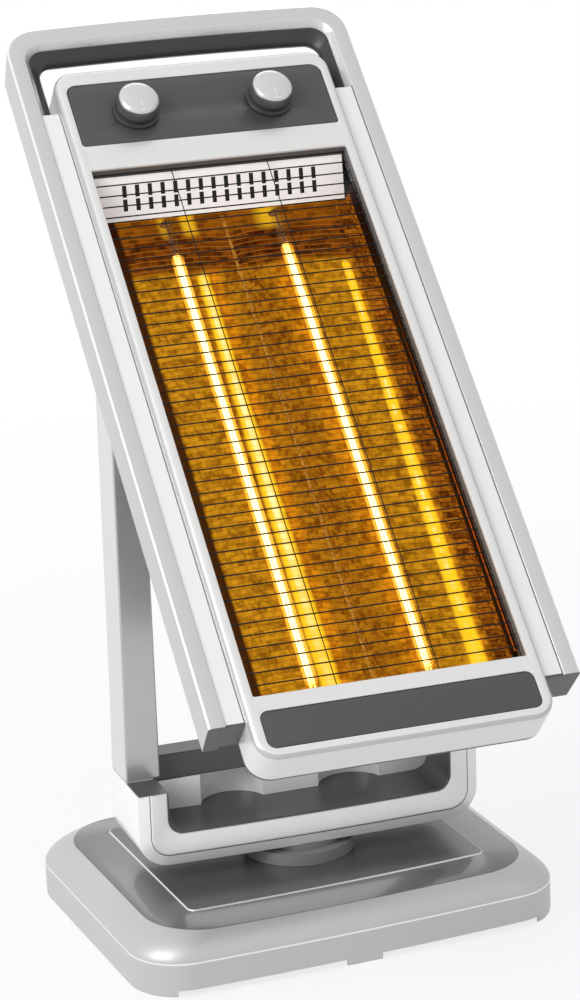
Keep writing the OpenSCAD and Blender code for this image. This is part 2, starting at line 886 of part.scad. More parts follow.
// Outline of the handle opening down to low, let out by k and swollen inward by the share s
// of the grip
function opening_ring(k, low, s = 0) = outline(opening_half_w + k - s * grip_side, low,
    opening_top + k - s * grip_drop, 0.4, frame_inner_r + k - 2 * s, frame_bow * 0.8);

// Room of the handle opening and, below it, of the bezel and what stands beside it
module opening_space(k, side, low) {
    head_loft([[1, opening_ring(k + lip_w * (1 + 1 / lip_d), low)], [-lip_d, opening_ring(k, low)],
        [-2 * lip_d, opening_ring(k, low)], [-rail_depth, opening_ring(k + back_rise, low)],
        [-rail_depth - 1, opening_ring(k + back_rise, low)]]);
    head_slab(1, -rail_depth - 1, [[-side, -rail_low - 20], [side, -rail_low - 20],
        [side, strip_top + k], [-side, strip_top + k]]);
}

module outer_frame() {
    back_n = back_plate_t - rail_depth;
    at_head()
        color(silver)
            difference() {
                head_loft([[0, frame_ring(0, 2)], [-0.7, frame_ring(-0.7, 0.6)],
                    [-2.4, frame_ring(-2.4, 0)], [back_n, frame_ring(back_n, 0)]]);
                opening_space(0, strip_half_w, strip_top - 5);
                difference() {
                    head_loft([[-cover_wall, frame_ring(-cover_wall, cover_wall, cover_wall)],
                        [-rail_depth, frame_ring(-rail_depth, cover_wall, cover_wall)]]);
                    opening_space(cover_wall, strip_half_w + cover_wall, strip_top - 5);
                }
            }
}

module frame_back() {
    at_head()
        color(silver)
            difference() {
                head_slab(back_plate_t - rail_depth, -rail_depth, frame_ring(-rail_depth, 0));
                opening_space(0, bezel_half_w + 2, strip_top - 0.4);
            }
}

module handle_lining() {
    front_n = -lip_d - lining_t;
    low = strip_top - 5;
    at_head()
        color(dark)
            difference() {
                head_loft([[front_n, opening_ring(0, strip_top)], [-9, opening_ring(0, strip_top)],
                    [-12, opening_ring(0, strip_top, 0.5)], [-16.5, opening_ring(0, strip_top, 0.76)],
                    [-bezel_skirt, opening_ring(back_rise - 1.5 * lining_t, strip_top)]]);
                head_loft([[front_n + 1, opening_ring(-2 * lining_t, low)], [-10.5, opening_ring(0, low, 0.62)],
                    [-14, opening_ring(0, low, 0.93)], [-16.5, opening_ring(0, low, 1)],
                    [-19.5, opening_ring(0, low, 0.86)],
                    [-bezel_skirt - 1, opening_ring(back_rise - 2.4 * lining_t, low)]]);
            }
}

module side_strip() {
    at_head()
        color(pale)
            difference() {
                head_slab(-strip_recess, -bezel_skirt, [[bezel_half_w + inlay_gap, 2 - rail_low],
                    [strip_half_w, 2 - rail_low], [strip_half_w, strip_top],
                    [bezel_half_w + inlay_gap, strip_top]]);
                head_slab(-strip_recess - cover_wall, -cut_far, [[bezel_half_w - 5, 4 - rail_low],
                    [strip_half_w - cover_wall, 4 - rail_low],
                    [strip_half_w - cover_wall, strip_top - cover_wall],
                    [bezel_half_w - 5, strip_top - cover_wall]]);
            }
}

module left_side_strip() {
    mirror([1, 0, 0])
        side_strip();
}

module right_side_strip() {
    side_strip();
}

module rail_end_caps() {
    at_head()
        color(dark)
            for (s = [0, 1])
                mirror([s, 0, 0])
                    head_slab(-strip_recess - 0.5, -bezel_skirt, [[bezel_half_w + inlay_gap, -rail_low],
                        [strip_half_w, -rail_low], [strip_half_w, 2 - rail_low],
                        [bezel_half_w + inlay_gap, 2 - rail_low]]);
}

function bezel_ring(k) = outline(bezel_half_w - k, k - bezel_low, bezel_top - k,
    bezel_corner_r - k, bezel_corner_r - k);
function window_ring(k) = outline(window_half_w + k, -window_low - k, window_top + k, 1 + k, 1 + k);
function control_ring(k) = outline(control_half_w + k, control_low - k, control_top + k, 3, 9);
function trim_ring(k) = outline(window_half_w + k, -trim_low - k, trim_h - trim_low + k, 7, 7);

module boss_places() {
    for (x = [-boss_x, boss_x])
        translate([x, 0, (control_low + window_top) / 2])
            children();
    for (x = [5 - boss_x, boss_x - 5])
        translate([x, 0, -(window_low + trim_low - trim_h) / 2])
            children();
}

module front_bezel() {
    at_head()
        color(pale)
            difference() {
                union() {
                    difference() {
                        head_loft([[bezel_proud, bezel_ring(4)], [bezel_proud - 1, bezel_ring(1.4)],
                            [bezel_proud - 3.5, bezel_ring(0)], [-bezel_skirt, bezel_ring(0)]]);
                        head_loft([[plate_n, bezel_ring(bezel_wall + 3)],
                            [plate_n - 3.5, bezel_ring(bezel_wall)],
                            [-bezel_skirt - 1, bezel_ring(bezel_wall)]]);
                    }
                    head_slab(plate_n + 0.5, plate_n - return_d, window_ring(bezel_wall - 0.4));
                    boss_places()
                        n_rod(0, 0, plate_n + 0.5, -bezel_skirt, 4);
                }
                head_slab(bezel_proud + 1, -cut_far, window_ring(0));
                head_slab(bezel_proud + 1, -cut_far, control_ring(0));
                head_slab(bezel_proud + 1, -cut_far, trim_ring(0));
                boss_places()
                    n_rod(0, 0, -10, -bezel_skirt - 1, 1.4);
            }
}

module inlay(outer, backing) {
    head_slab(bezel_proud - 0.6, plate_n - 2, outer);
    head_slab(plate_n, plate_n - 2, backing);
}

module control_panel() {
    at_head()
        color(dark)
            difference() {
                inlay(control_ring(-inlay_gap), control_ring(2));
                for (x = [-knob_x, knob_x])
                    n_rod(x, knob_z, bezel_proud + 1, -10, shaft_d / 2 + 2.2);
            }
}

module lower_trim_panel() {
    at_head()
        color(dark)
            inlay(trim_ring(-inlay_gap), trim_ring(1.5));
}

function housing_ring(k) = outline(housing_half_w - k, k - housing_low, housing_top - k, 4, 20);

module rear_housing() {
    at_head()
        color(dark)
            difference() {
                union() {
                    head_slab(-bezel_skirt, flange_back, bezel_ring(0));
                    head_loft([[flange_back + 1, housing_ring(0)], [16 - housing_depth, housing_ring(0)],
                        [-housing_depth, housing_ring(14)]]);
                    head_slab(flange_back + 1, -step_back, outline(housing_half_w - 6, -step_low,
                        10 - housing_low, 6, 1));
                }
                head_loft([[0, housing_ring(housing_wall)],
                    [16 - housing_depth, housing_ring(housing_wall)],
                    [housing_wall - housing_depth, housing_ring(14)]]);
                head_slab(0, housing_wall - step_back, outline(housing_half_w - 6 - housing_wall,
                    housing_wall - step_low, 10 - housing_low, 6, 1));
                head_slab(-80, -housing_depth - 1, outline(grille_half_w, grille_low, grille_top, 6, 6));
                boss_places()
                    n_rod(0, 0, 0, -40, 1.7);
                x_rod(-housing_half_w - 1, housing_half_w + 1, pivot_d / 2 + 0.6);
            }
}

module rear_grille() {
    length = 2 * grille_half_w - 30;
    at_head()
        color(black)
            difference() {
                union() {
                    head_slab(housing_wall - housing_depth, -housing_depth,
                        outline(grille_half_w - inlay_gap, grille_low + inlay_gap,
                            grille_top - inlay_gap, 6, 6));
                    head_slab(housing_wall - housing_depth + 1.4, housing_wall - housing_depth,
                        outline(grille_half_w + 5, grille_low - 5, grille_top + 5, 6, 6));
                }
                for (z = [grille_low + louvre_pitch : louvre_pitch : grille_top - louvre_pitch])
                    translate([-length / 2, face_y + housing_depth - 10, z - louvre_w / 2])
                        cube([length, 20, louvre_w]);
            }
}

module housing_screws() {
    at_head()
        color(steel)
            boss_places() {
                n_rod(0, 0, flange_back, flange_back - 1.8, 3);
                n_rod(0, 0, flange_back + 12, flange_back - 1, 1.38);
            }
}

module tilt_bracket() {
    at_head()
        color(steel)
            difference() {
                translate([housing_half_w, face_y - flange_back + 0.4, -bracket_h / 2])
                    cube([bracket_t, bracket_d, bracket_h]);
                x_rod(housing_half_w - 1, bracket_out + 1, pivot_d / 2 + pivot_clear);
            }
}

module left_tilt_bracket() {
    mirror([1, 0, 0])
        tilt_bracket();
}

module right_tilt_bracket() {
    tilt_bracket();
}

module wire_guard() {
    inset = wire_d / 2 + 0.4;
    w = window_half_w - inset;
    low = inset - window_low;
    top = window_top - inset;
    n_wires = floor((top - low) / wire_pitch) - 1;
    step = (top - low) / (n_wires + 1);
    at_head()
        color(steel) {
            for (i = [0:n_wires + 1])
                translate([-w, face_y - guard_n, low + i * step])
                    rotate([0, 90, 0])
                        cylinder(h = 2 * w, d = wire_d, $fn = 8);
            for (x = [-w, -wire_x, wire_x, w])
                translate([x, face_y - guard_n + wire_d * 0.7, low - wire_d / 2])
                    cylinder(h = top - low + wire_d, d = wire_d, $fn = 8);
        }
}

module air_plate() {
    low_n = 1.5 - bezel_skirt;
    high_n = guard_n - 3;
    low_z = reflector_top + 1.5;
    high_z = window_top - 1.5;
    run = high_n - low_n;
    rise = high_z - low_z;
    length = sqrt(run * run + rise * rise);
    w = window_half_w - 2.3;
    pitch = 2 * (w - slot_margin) / slot_count;
    at_head()
        color(silver)
            translate([0, face_y - low_n, low_z])
                rotate([-atan2(rise, run), 0, 0])
                    difference() {
                        translate([-w, -length, 0])
                            cube([2 * w, length, 1.2]);
                        for (i = [0:slot_count - 1])
                            for (row = [0, 1])
                                translate([(i - (slot_count - 1) / 2) * pitch - slot_w / 2,
                                    -length + 7 + row * (slot_l + 2.4), -1])
                                    cube([slot_w, slot_l, 4]);
                    }
}

// Section of one reflector trough in x and n
function trough_section(r) = let (a = asin(reflector_half_w / trough_r))
    [for (i = [0:24]) let (b = -90 - a + 2 * a * i / 24)
        [r * cos(b), reflector_front - trough_d + trough_r + r * sin(b)]];

module reflector() {
    inner = trough_section(trough_r);
    outer = trough_section(trough_r + sheet_t);
    at_head()
        color(gold)
            translate([reflector_x, face_y, -reflector_low])
                mirror([0, 1, 0])
                    linear_extrude(reflector_low + reflector_top)
                        polygon(concat(inner, [for (i = [24:-1:0]) outer[i]]));
}

module left_reflector() {
    mirror([1, 0, 0])
        reflector();
}

module right_reflector() {
    reflector();
}

module end_plate(z) {
    at_head()
        difference() {
            translate([end_gap - housing_inner_w, face_y - reflector_front - 3.5, z])
                cube([2 * (housing_inner_w - end_gap), reflector_front + 3.5 - shield_n, end_t]);
            for (x = [-lamp_x, lamp_x])
                translate([x, face_y + lamp_depth, z - 1])
                    cylinder(h = 3, r = tube_d / 2 + tube_gap, $fn = 40);
        }
}

module upper_end_plate() {
    color(gold)
        end_plate(reflector_top);
}

module lower_end_plate() {
    color(gold)
        end_plate(-reflector_low - 1);
}

module side_baffles() {
    lip_x = reflector_x + reflector_half_w - 1;
    at_head()
        color(black)
            for (s = [0, 1])
                mirror([s, 0, 0])
                    translate([0, face_y, -reflector_low])
                        mirror([0, 1, 0])
                            linear_extrude(reflector_low + reflector_top)
                                polygon([[window_half_w - 1.3, plate_n - return_d + 2],
                                    [window_half_w - 0.3, plate_n - return_d + 2],
                                    [window_half_w - 0.3, 0.3 - bezel_skirt],
                                    [lip_x + 1, 0.3 - bezel_skirt],
                                    [lip_x + 1, reflector_front + 0.1],
                                    [lip_x, reflector_front + 0.1],
                                    [lip_x, 1.3 - bezel_skirt],
                                    [window_half_w - 1.3, 1.3 - bezel_skirt]]);
}

module quartz_tubes() {
    at_head()
        color([0.9, 0.9, 0.95])
            for (x = [-lamp_x, lamp_x])
                translate([x, face_y + lamp_depth, -reflector_low - 9])
                    difference() {
                        cylinder(h = reflector_low + reflector_top + 18, d = tube_d, $fn = 40);
                        translate([0, 0, -1])
                            cylinder(h = 600, d = tube_d - 2 * tube_wall, $fn = 40);
                    }
}

module lamp_filaments() {
    low = 8 - reflector_low;
    high = reflector_top - 30;
    at_head()
        color([1, 0.7, 0.3])
            for (x = [-lamp_x, lamp_x])
                translate([x, face_y + lamp_depth, 0]) {
                    translate([0, 0, low])
                        cylinder(h = high - low, d = filament_d, $fn = 24);
                    translate([0, 0, -reflector_low - 14])
                        cylinder(h = reflector_low + reflector_top + 28, d = 1.4, $fn = 16);
                }
}

module lamp_end_caps() {
    at_head()
        color(ceramic)
            for (x = [-lamp_x, lamp_x])
                for (z = [cap_z, cap_low_z])
                    difference() {
                        translate([x - cap_w / 2, face_y + lamp_depth - cap_w / 2, z])
                            cube([cap_w, cap_w, cap_h]);
                        translate([x, face_y + lamp_depth, z > 0 ? z - 1 : z + cap_h - 12])
                            cylinder(h = 13, d = tube_d, $fn = 40);
                    }
}

module lamp_brackets() {
    half = lamp_x + cap_w / 2 + 8;
    at_head()
        color(steel)
            for (top = [0, 1]) {
                z0 = top ? reflector_top + 1 : cap_low_z - 1.2;
                h = cap_h + 2.2;
                translate([-half, face_y + lamp_depth - cap_w / 2, z0])
                    difference() {
                        cube([2 * half, cap_w, h]);
                        translate([1.2, -1, top ? -1 : 1.2])
                            cube([2 * half - 2.4, cap_w + 2, h - 0.2]);
                    }
            }
}

module heat_shield() {
    w = housing_inner_w - 4;
    at_head()
        color(steel)
            head_slab(shield_n, trough_back - 5,
                outline(w, -reflector_low - end_t, reflector_top + end_t, 3, 3));
}

module control_unit(x, w, h, depth) {
    at_head()
        difference() {
            union() {
                head_slab(plate_n - 2, plate_n - 2 - depth, [[x - w / 2, knob_z - h / 2],
                    [x + w / 2, knob_z - h / 2], [x + w / 2, knob_z + h / 2],
                    [x - w / 2, knob_z + h / 2]]);
                n_rod(x, knob_z, bezel_proud - 0.4, plate_n - 3, shaft_d / 2 + 2);
            }
            n_rod(x, knob_z, bezel_proud + 1, -14, shaft_d / 2 + shaft_clear);
        }
}

module power_switch() {
    color(black)
        control_unit(-knob_x, 30, 30, 22);
}

module timer_unit() {
    color(pale)
        control_unit(knob_x, 38, 38, 26);
}

module thermal_cutout() {
    at_head()
        color(black) {
            n_rod(0, 40, trough_back - 5, trough_back - 12, 8);
            translate([-3, face_y - trough_back + 12, 34])
                cube([6, 3, 12]);
        }
}

module knob_shaft(x) {
    at_head()
        color(steel)
            n_rod(x, knob_z, knob_n + knob_h - 5, -13.8, shaft_d / 2);
}

module power_shaft() {
    knob_shaft(-knob_x);
}

module timer_shaft() {
    knob_shaft(knob_x);
}

module knob(x) {
    at_head()
        color([0.45, 0.45, 0.46])
            difference() {
                union() {
                    n_rod(x, knob_z, knob_n + knob_h - 2, knob_n, knob_d / 2);
                    n_rod(x, knob_z, knob_n + 1.6, knob_n, knob_d / 2 + 2);
                }
                n_rod(x, knob_z, knob_n + knob_h - 5, knob_n - 1, shaft_d / 2);
            }
}

module power_knob() {
    knob(-knob_x);
}

module timer_knob() {
    knob(knob_x);
}

module knob_cap(x) {
    at_head()
        color(pale) {
            n_rod(x, knob_z, knob_n + knob_h - 0.6, knob_n + knob_h - 2, knob_d / 2 - 0.2);
            n_rod(x, knob_z, knob_n + knob_h, knob_n + knob_h - 1, knob_d / 2 - 1.4);
            translate([x - 1.2, face_y - knob_n - knob_h - 0.8, knob_z - knob_d / 2 + 3])
                cube([2.4, 1.2, 9]);
        }
}

module power_knob_cap() {
    knob_cap(-knob_x);
}

module timer_knob_cap() {
    knob_cap(knob_x);
}

base_shell();
base_top_panel();
base_bottom_plate();
ballast_plate();
base_feet();
base_screws();
tip_over_switch();
base_terminal_block();
cord_gland();
swivel_collar();
swivel_spindle();
spindle_nut();
stand_cover();
stand_back_plate();
stand_beam();
stand_lining();
stub_caps();
stand_rear_wall();
crossbar();
left_arm_cover();
right_arm_cover();
left_arm_core();
right_arm_core();
pivot_bolts();
friction_washers();
outer_frame();
frame_back();
handle_lining();
left_side_strip();
right_side_strip();
rail_end_caps();
front_bezel();
control_panel();
lower_trim_panel();
rear_housing();
rear_grille();
housing_screws();
left_tilt_bracket();
right_tilt_bracket();
wire_guard();
air_plate();
left_reflector();
right_reflector();
upper_end_plate();
lower_end_plate();
side_baffles();
quartz_tubes();
lamp_filaments();
lamp_end_caps();
lamp_brackets();
heat_shield();
power_switch();
timer_unit();
thermal_cutout();
power_shaft();
timer_shaft();
power_knob();
timer_knob();
power_knob_cap();
timer_knob_cap();
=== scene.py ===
"""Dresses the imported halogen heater: rounded shells, lamps, reflectors, guard and finishes."""

import math

import bmesh
import bpy
from bpy.props import FloatProperty, FloatVectorProperty, IntProperty, PointerProperty
from mathutils import Matrix, Vector
from mathutils.geometry import tessellate_polygon


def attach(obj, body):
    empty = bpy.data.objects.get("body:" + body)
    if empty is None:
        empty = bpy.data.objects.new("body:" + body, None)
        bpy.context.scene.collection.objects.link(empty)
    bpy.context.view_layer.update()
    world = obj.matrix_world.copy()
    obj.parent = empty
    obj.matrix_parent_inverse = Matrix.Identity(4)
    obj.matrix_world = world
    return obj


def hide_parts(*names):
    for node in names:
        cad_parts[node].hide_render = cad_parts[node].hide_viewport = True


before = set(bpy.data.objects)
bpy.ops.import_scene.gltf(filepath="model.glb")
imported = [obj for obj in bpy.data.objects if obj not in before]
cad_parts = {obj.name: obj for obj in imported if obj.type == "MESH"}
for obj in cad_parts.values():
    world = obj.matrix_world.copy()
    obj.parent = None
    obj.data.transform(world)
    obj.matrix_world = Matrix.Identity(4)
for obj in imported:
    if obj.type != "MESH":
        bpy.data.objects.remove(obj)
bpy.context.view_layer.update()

bl_info = {
    "name": "Halogen heater",
    "version": (1, 0, 0),
    "blender": (4, 5, 0),
    "location": "View3D > Sidebar > Heater",
    "description": "Builds the visible pieces and finishes of a free-standing halogen heater",
    "category": "Object",
}

MM = 0.001

# Sizes that the solids have, in millimetres
TILT = 48.0
PIVOT_Y, PIVOT_Z = 4.3, 424.9
FACE_Y = -42.3
FRAME_W, FRAME_FLARE, FRAME_LOW, FRAME_TOP = 146.0, 2.5, -293.4, 369.5
FRAME_BACK, FRAME_BACK_TOP = -35.5, 357.0
OPENING_W, OPENING_TOP = 130.3, 350.3
GRIP_SIDE, GRIP_DROP = 8.3, 11.0
STRIP_TOP, STRIP_W = 281.0, 134.8
BEZEL_W, BEZEL_LOW, BEZEL_TOP = 119.1, -326.8, 319.0
BEZEL_FACE, BEZEL_BACK = 4.0, -31.0
WINDOW_W, WINDOW_LOW, WINDOW_TOP = 109.1, -274.2, 216.6
KNOB_X, KNOB_Z, KNOB_N = 57.5, 272.5, 4.6
LAMP_X, LAMP_N = 47.0, -38.0
REFLECTOR_X, REFLECTOR_W, REFLECTOR_N = 51.0, 49.0, -34.0
REFLECTOR_TOP, REFLECTOR_LOW = 186.0, -262.0
TROUGH_D, SHEET = 26.0, 0.8
HOUSING_W, HOUSING_LOW, HOUSING_TOP, HOUSING_N = 106.0, -266.0, 296.0, -96.0
STUB_TOP = 131.0
ARM_IN, ARM_OUT, ARM_FRONT, ARM_BACK = 116.0, 144.5, -2.1, 37.0
BASE_W, BASE_D, BASE_R, PANEL_R = 183.0, 140.0, 44.0, 49.0
SKIRT_TOP, BASE_TOP = 28.5, 48.5
COIL_LOW, COIL_TOP = -252.0, 154.0
GRILLE_W, GRILLE_LOW, GRILLE_TOP, LOUVRE_PITCH = 78, -190, 230, 14
GUARD_N, UPRIGHT_X = -3.0, 41.0

HEAD = (Matrix.Translation((0, PIVOT_Y * MM, PIVOT_Z * MM))
        @ Matrix.Rotation(math.radians(-TILT), 4, "X"))
BASE_TURN, BASE_SHIFT = 3.5, 10.0
BASE = (Matrix.Rotation(math.radians(BASE_TURN), 4, "Z")
        @ Matrix.Translation((0, BASE_SHIFT * MM, 0)))

# The frame in which each body's pieces are built
PLACES = {"base": BASE, "stand": Matrix(), "head": HEAD,
          "power_knob_body": HEAD, "timer_knob_body": HEAD}

# Slopes in depth along which things look upright or level in the camera's view
SIDE_SLOPE, LEVEL_SLOPE = 0.39, 0.826
# Heights, on the level slope, at which the painted lit length ends and the rows of painted shade
# above it end
LIT_TOP, ROWS_TOP = 101.0, 136.0
CELL_PITCH = 4.9

# The camera that fits the photograph: place in millimetres, angles in degrees, and the focal
# length from its value in pixels of a picture 1000 high
CAMERA_AT = (-839.84, -2470.39, 1132.27)
CAMERA_PAN, CAMERA_PITCH, CAMERA_ROLL = -18.8479, -16.7013, -2.0468
SENSOR = 36.0
FOCAL_LENGTH = 3405.27 * SENSOR / 1000.0

# Studio lights: name, place and size in metres, power in watts
LIGHTS = (("key", (-2.2, -1.1, 2.0), 1.8, 54.0), ("fill", (2.0, -2.0, 1.6), 1.8, 2.5),
          ("back", (0.6, 2.2, 2.2), 1.6, 12.0))
LIGHTS_AIM = (0, 0, 0.35)
WORLD_LIGHT = 0.55
FLOOR_HALF = 6.0
# Millimetres from the object at which the floor begins to turn white, and over which it does
WHITE_FROM, WHITE_OVER = 350.0, 1300.0


# ---- Outlines ----

def even(low, high, n):
    """n + 1 even steps from low to high."""
    return [low + (high - low) * i / n for i in range(n + 1)]


def arc(cx, cz, r, a0, a1, n):
    """Points of an arc about (cx, cz), angles in degrees."""
    angles = map(math.radians, even(a0, a1, n))
    return [(cx + r * math.cos(a), cz + r * math.sin(a)) for a in angles]


def bowed(half, z, bow, m):
    """Points between the ends of an edge that rises by bow at its middle, left to right."""
    return [(half * t, z + bow * (1 - t * t)) for t in (2 * i / m - 1 for i in range(1, m))]


def outline(w, z0, z1, rb, rt, bow=0.0, n=12, m=24):
    """Rounded outline of half width w from z0 to z1, with bowed upper and lower edges."""
    return (arc(w - rt, z1 - rt, rt, 0, 90, n) + bowed(w - rt, z1, bow, m)[::-1]
            + arc(rt - w, z1 - rt, rt, 90, 180, n) + arc(rb - w, z0 + rb, rb, 180, 270, n)
            + bowed(w - rb, z0, -bow, m) + arc(w - rb, z0 + rb, rb, 270, 360, n))


def hoop(w, low, top, r, bow):
    """Open path up the left leg, over the bowed top and down the right leg."""
    left = [(-w, z) for z in even(low, top - r, 4)[:-1]]
    right = [(w, z) for _, z in reversed(left)]
    return (left + arc(r - w, top - r, r, 180, 90, 12) + bowed(w - r, top, bow, 28)
            + arc(w - r, top - r, r, 90, 0, 12) + right)


def trough(w, low, top, r, bow):
    """Open path down the left leg, along the bowed bottom and up the right leg."""
    return [(x, -z) for x, z in hoop(w, -top, -low, r, bow)]


def circle(cx, cz, r, n=40):
    return [(cx + r * math.cos(2 * math.pi * i / n), cz + r * math.sin(2 * math.pi * i / n))
            for i in range(n)]


def rectangle(x0, x1, z0, z1):
    """A rectangle as a function of an outset."""
    return lambda k: [(x0 - k, z0 - k), (x1 + k, z0 - k), (x1 + k, z1 + k), (x0 - k, z1 + k)]


def bezel_ring(k):
    return outline(BEZEL_W - k, BEZEL_LOW + k, BEZEL_TOP - k, 18 - k, 18 - k)


def swelling(w, low, top, rb, rt, n=8):
    """A rounded outline as a function of an outset."""
    return lambda k: outline(w + k, low - k, top + k, rb + k, rt + k, n=n)


window_ring = swelling(WINDOW_W, WINDOW_LOW, WINDOW_TOP, 1.2, 1.2, 6)
control_ring = swelling(BEZEL_W - 8.9, 241.0, 304.0, 3, 9)
trim_ring = swelling(WINDOW_W, -318.9, -287.5, 7, 7)


def grille_ring(k):
    return outline(GRILLE_W + k, GRILLE_LOW - k, GRILLE_TOP + k, 6, 6)


def base_ring(inset, side=0.0, blend=0.0):
    """Outline of the base, set in; blend takes the corners from the skirt's to the panel's."""
    r = (BASE_R - inset) * (1 - blend) + PANEL_R * blend
    return outline(BASE_W - inset - side, inset - BASE_D, BASE_D - inset, r, r, 3)


def panel_ring(k):
    r = max(PANEL_R - 1.25 * k, 2)
    return outline(BASE_W - 20 - k, 11 + k - BASE_D, BASE_D - 11 - k, r, r, 3)


def frame_line(n, k):
    """The frame's outer edge at depth n, set in by k."""
    t = n / FRAME_BACK
    top = FRAME_TOP + (FRAME_BACK_TOP - FRAME_TOP) * t
    return hoop(FRAME_W + FRAME_FLARE * (1 - 0.7 * t) - k, FRAME_LOW, top - k, 28 - 10 * t - k,
                2 * (1 - 0.5 * t))


def opening_line(k, low, s=0.0):
    """The handle opening down to low, let out by k and swollen inward by the share s."""
    return hoop(OPENING_W + k - s * GRIP_SIDE, low, OPENING_TOP + k - s * GRIP_DROP,
                14 + k - 2 * s, 1.6)


def head(x, v, n):
    """A point of the head: across, up the head, and forward of the frame's face."""
    return (x, FACE_Y - n, v)


def flat_head(p, n):
    return head(p[0], p[1], n)


# ---- Mesh building ----

class Form:
    """Vertices and faces of one piece, in millimetres."""

    def __init__(self):
        self.verts, self.faces, self.slots = [], [], []

    def row(self, points):
        start = len(self.verts)
        self.verts += [tuple(p) for p in points]
        return list(range(start, len(self.verts)))

    def face(self, corners, slot=0):
        self.faces.append(tuple(corners))
        self.slots.append(slot)

    def skin(self, rows, closed=True, slot=0):
        """Quads between rows of equal length; slot may be one number or one for each band."""
        for k, (a, b) in enumerate(zip(rows, rows[1:])):
            s = slot if isinstance(slot, int) else slot[k]
            for i in range(len(a) if closed else len(a) - 1):
                j = (i + 1) % len(a)
                self.face((a[i], a[j], b[j], b[i]), s)

    def rings(self, ring, levels, place=flat_head):
        """Rows of an outline at levels of (outset, depth)."""
        return [self.row(place(p, d) for p in ring(k)) for k, d in levels]

    def solid(self, rows, slot=0):
        """Closed solid between rows that run round it, with a face at each end."""
        self.skin(rows, slot=slot)
        self.face(rows[0], slot)
        self.face(rows[-1], slot)

    def ribbon(self, rows, slot=0, cap=0):
        """Closed solid along open rows, of which the last meets the first."""
        self.skin(rows + [rows[0]], closed=False, slot=slot)
        for end in (0, -1):
            self.face([r[end] for r in rows], cap)

    def pierced(self, outer, holes):
        """Flat area between an outer row and the rows of its holes."""
        loops = [outer] + holes
        ids = [i for loop in loops for i in loop]
        spans = [max(c) - min(c) for c in zip(*(self.verts[i] for i in outer))]
        a, b = (i for i in range(3) if i != spans.index(min(spans)))
        flat = [[Vector((self.verts[i][a], self.verts[i][b], 0)) for i in loop] for loop in loops]
        for tri in tessellate_polygon(flat):
            self.face([ids[t] for t in tri])

    def plate(self, outer, holes, levels, place=flat_head):
        """Solid plate. levels is [(outset, depth), ...] from front to back, and place makes a
        3-D point of a flat point and a depth. outer and each hole are functions of an outset."""
        rows = [self.rings(lambda k: outer(-k), levels, place)]
        rows += [self.rings(hole, levels, place) for hole in holes]
        for side in rows:
            self.skin(side)
        for end in (0, -1):
            self.pierced(rows[0][end], [r[end] for r in rows[1:]])

    def lathe(self, place, profile, n=64, slot=0):
        """Turned solid. profile is [(radius, height), ...], and place makes a 3-D point of
        (across, across, height). A radius of 0 closes an end to one point."""
        rows = [self.row(place(a, b, h) for a, b in circle(0, 0, r, n if r else 1))
                for r, h in profile]
        for k, (a, b) in enumerate(zip(rows, rows[1:])):
            s = slot if isinstance(slot, int) else slot[k]
            if len(a) == 1 or len(b) == 1:
                tip, ring = (a, b) if len(a) == 1 else (b, a)
                for i in range(n):
                    self.face((tip[0], ring[i], ring[(i + 1) % n]), s)
            else:
                self.skin([a, b], slot=s)

    def tube(self, path, r, sides=8, slot=0):
        """Round wire along a path of 3-D points."""
        pts = [Vector(p) for p in path]
        rows = []
        side = None
        for i, p in enumerate(pts):
            t = (pts[min(i + 1, len(pts) - 1)] - pts[max(i - 1, 0)]).normalized()
            if side is None:
                side = t.orthogonal().normalized()
            side = (side - t * side.dot(t)).normalized()
            up = t.cross(side)
            rows.append(self.row(p + r * (math.cos(a) * side + math.sin(a) * up)
                                 for a in (2 * math.pi * j / sides for j in range(sides))))
        self.solid(rows, slot)

    def block(self, low, high):
        """Box between two opposite corners."""
        x, y, z = zip(low, high)
        self.solid([self.row([(x[0], y[0], h), (x[1], y[0], h), (x[1], y[1], h), (x[0], y[1], h)])
                    for h in z])

    def mesh(self, name):
        """The form as a mesh, with doubled corners merged and all faces turned outward."""
        mesh = bpy.data.meshes.new(name)
        mesh.from_pydata([Vector(v) * MM for v in self.verts], [], self.faces)
        mesh.polygons.foreach_set("material_index", self.slots)
        bm = bmesh.new()
        bm.from_mesh(mesh)
        bmesh.ops.remove_doubles(bm, verts=bm.verts, dist=1e-6)
        bmesh.ops.recalc_face_normals(bm, faces=bm.faces)
        bm.to_mesh(mesh)
        bm.free()
        return mesh

    def piece(self, name, body, finishes, slot, replaces=(), bevel=0.0, segments=3, limit=24.0,
              smooth=30.0):
        """The finished object, riding on its body."""
        mesh = self.mesh(name)
        for f in finishes:
            mesh.materials.append(finish(f))
        round_off(mesh, smooth)
        obj = bpy.data.objects.new(name, mesh)
        bpy.context.scene.collection.objects.link(obj)
        obj.matrix_world = PLACES[body]
        if bevel:
            mod = obj.modifiers.new("rounded edges", "BEVEL")
            mod.width = bevel * MM
            mod.segments = segments
            mod.limit_method = "ANGLE"
            mod.angle_limit = math.radians(limit)
            mod.harden_normals = True
        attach(obj, body)
        if replaces:
            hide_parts(*replaces)
        return obj

    def dress(self, node, body, finishes, slot, **look):
        """The finished object in the place of one node."""
        return self.piece(f"{node}_dressed", body, finishes, slot, replaces=[node], **look)


def box(low, high):
    """Form of one box."""
    form = Form()
    form.block(low, high)
    return form


def round_off(mesh, angle=30.0):
    """Shades a mesh smooth up to that angle between faces."""
    mesh.shade_smooth()
    mesh.set_sharp_from_angle(angle=math.radians(angle))


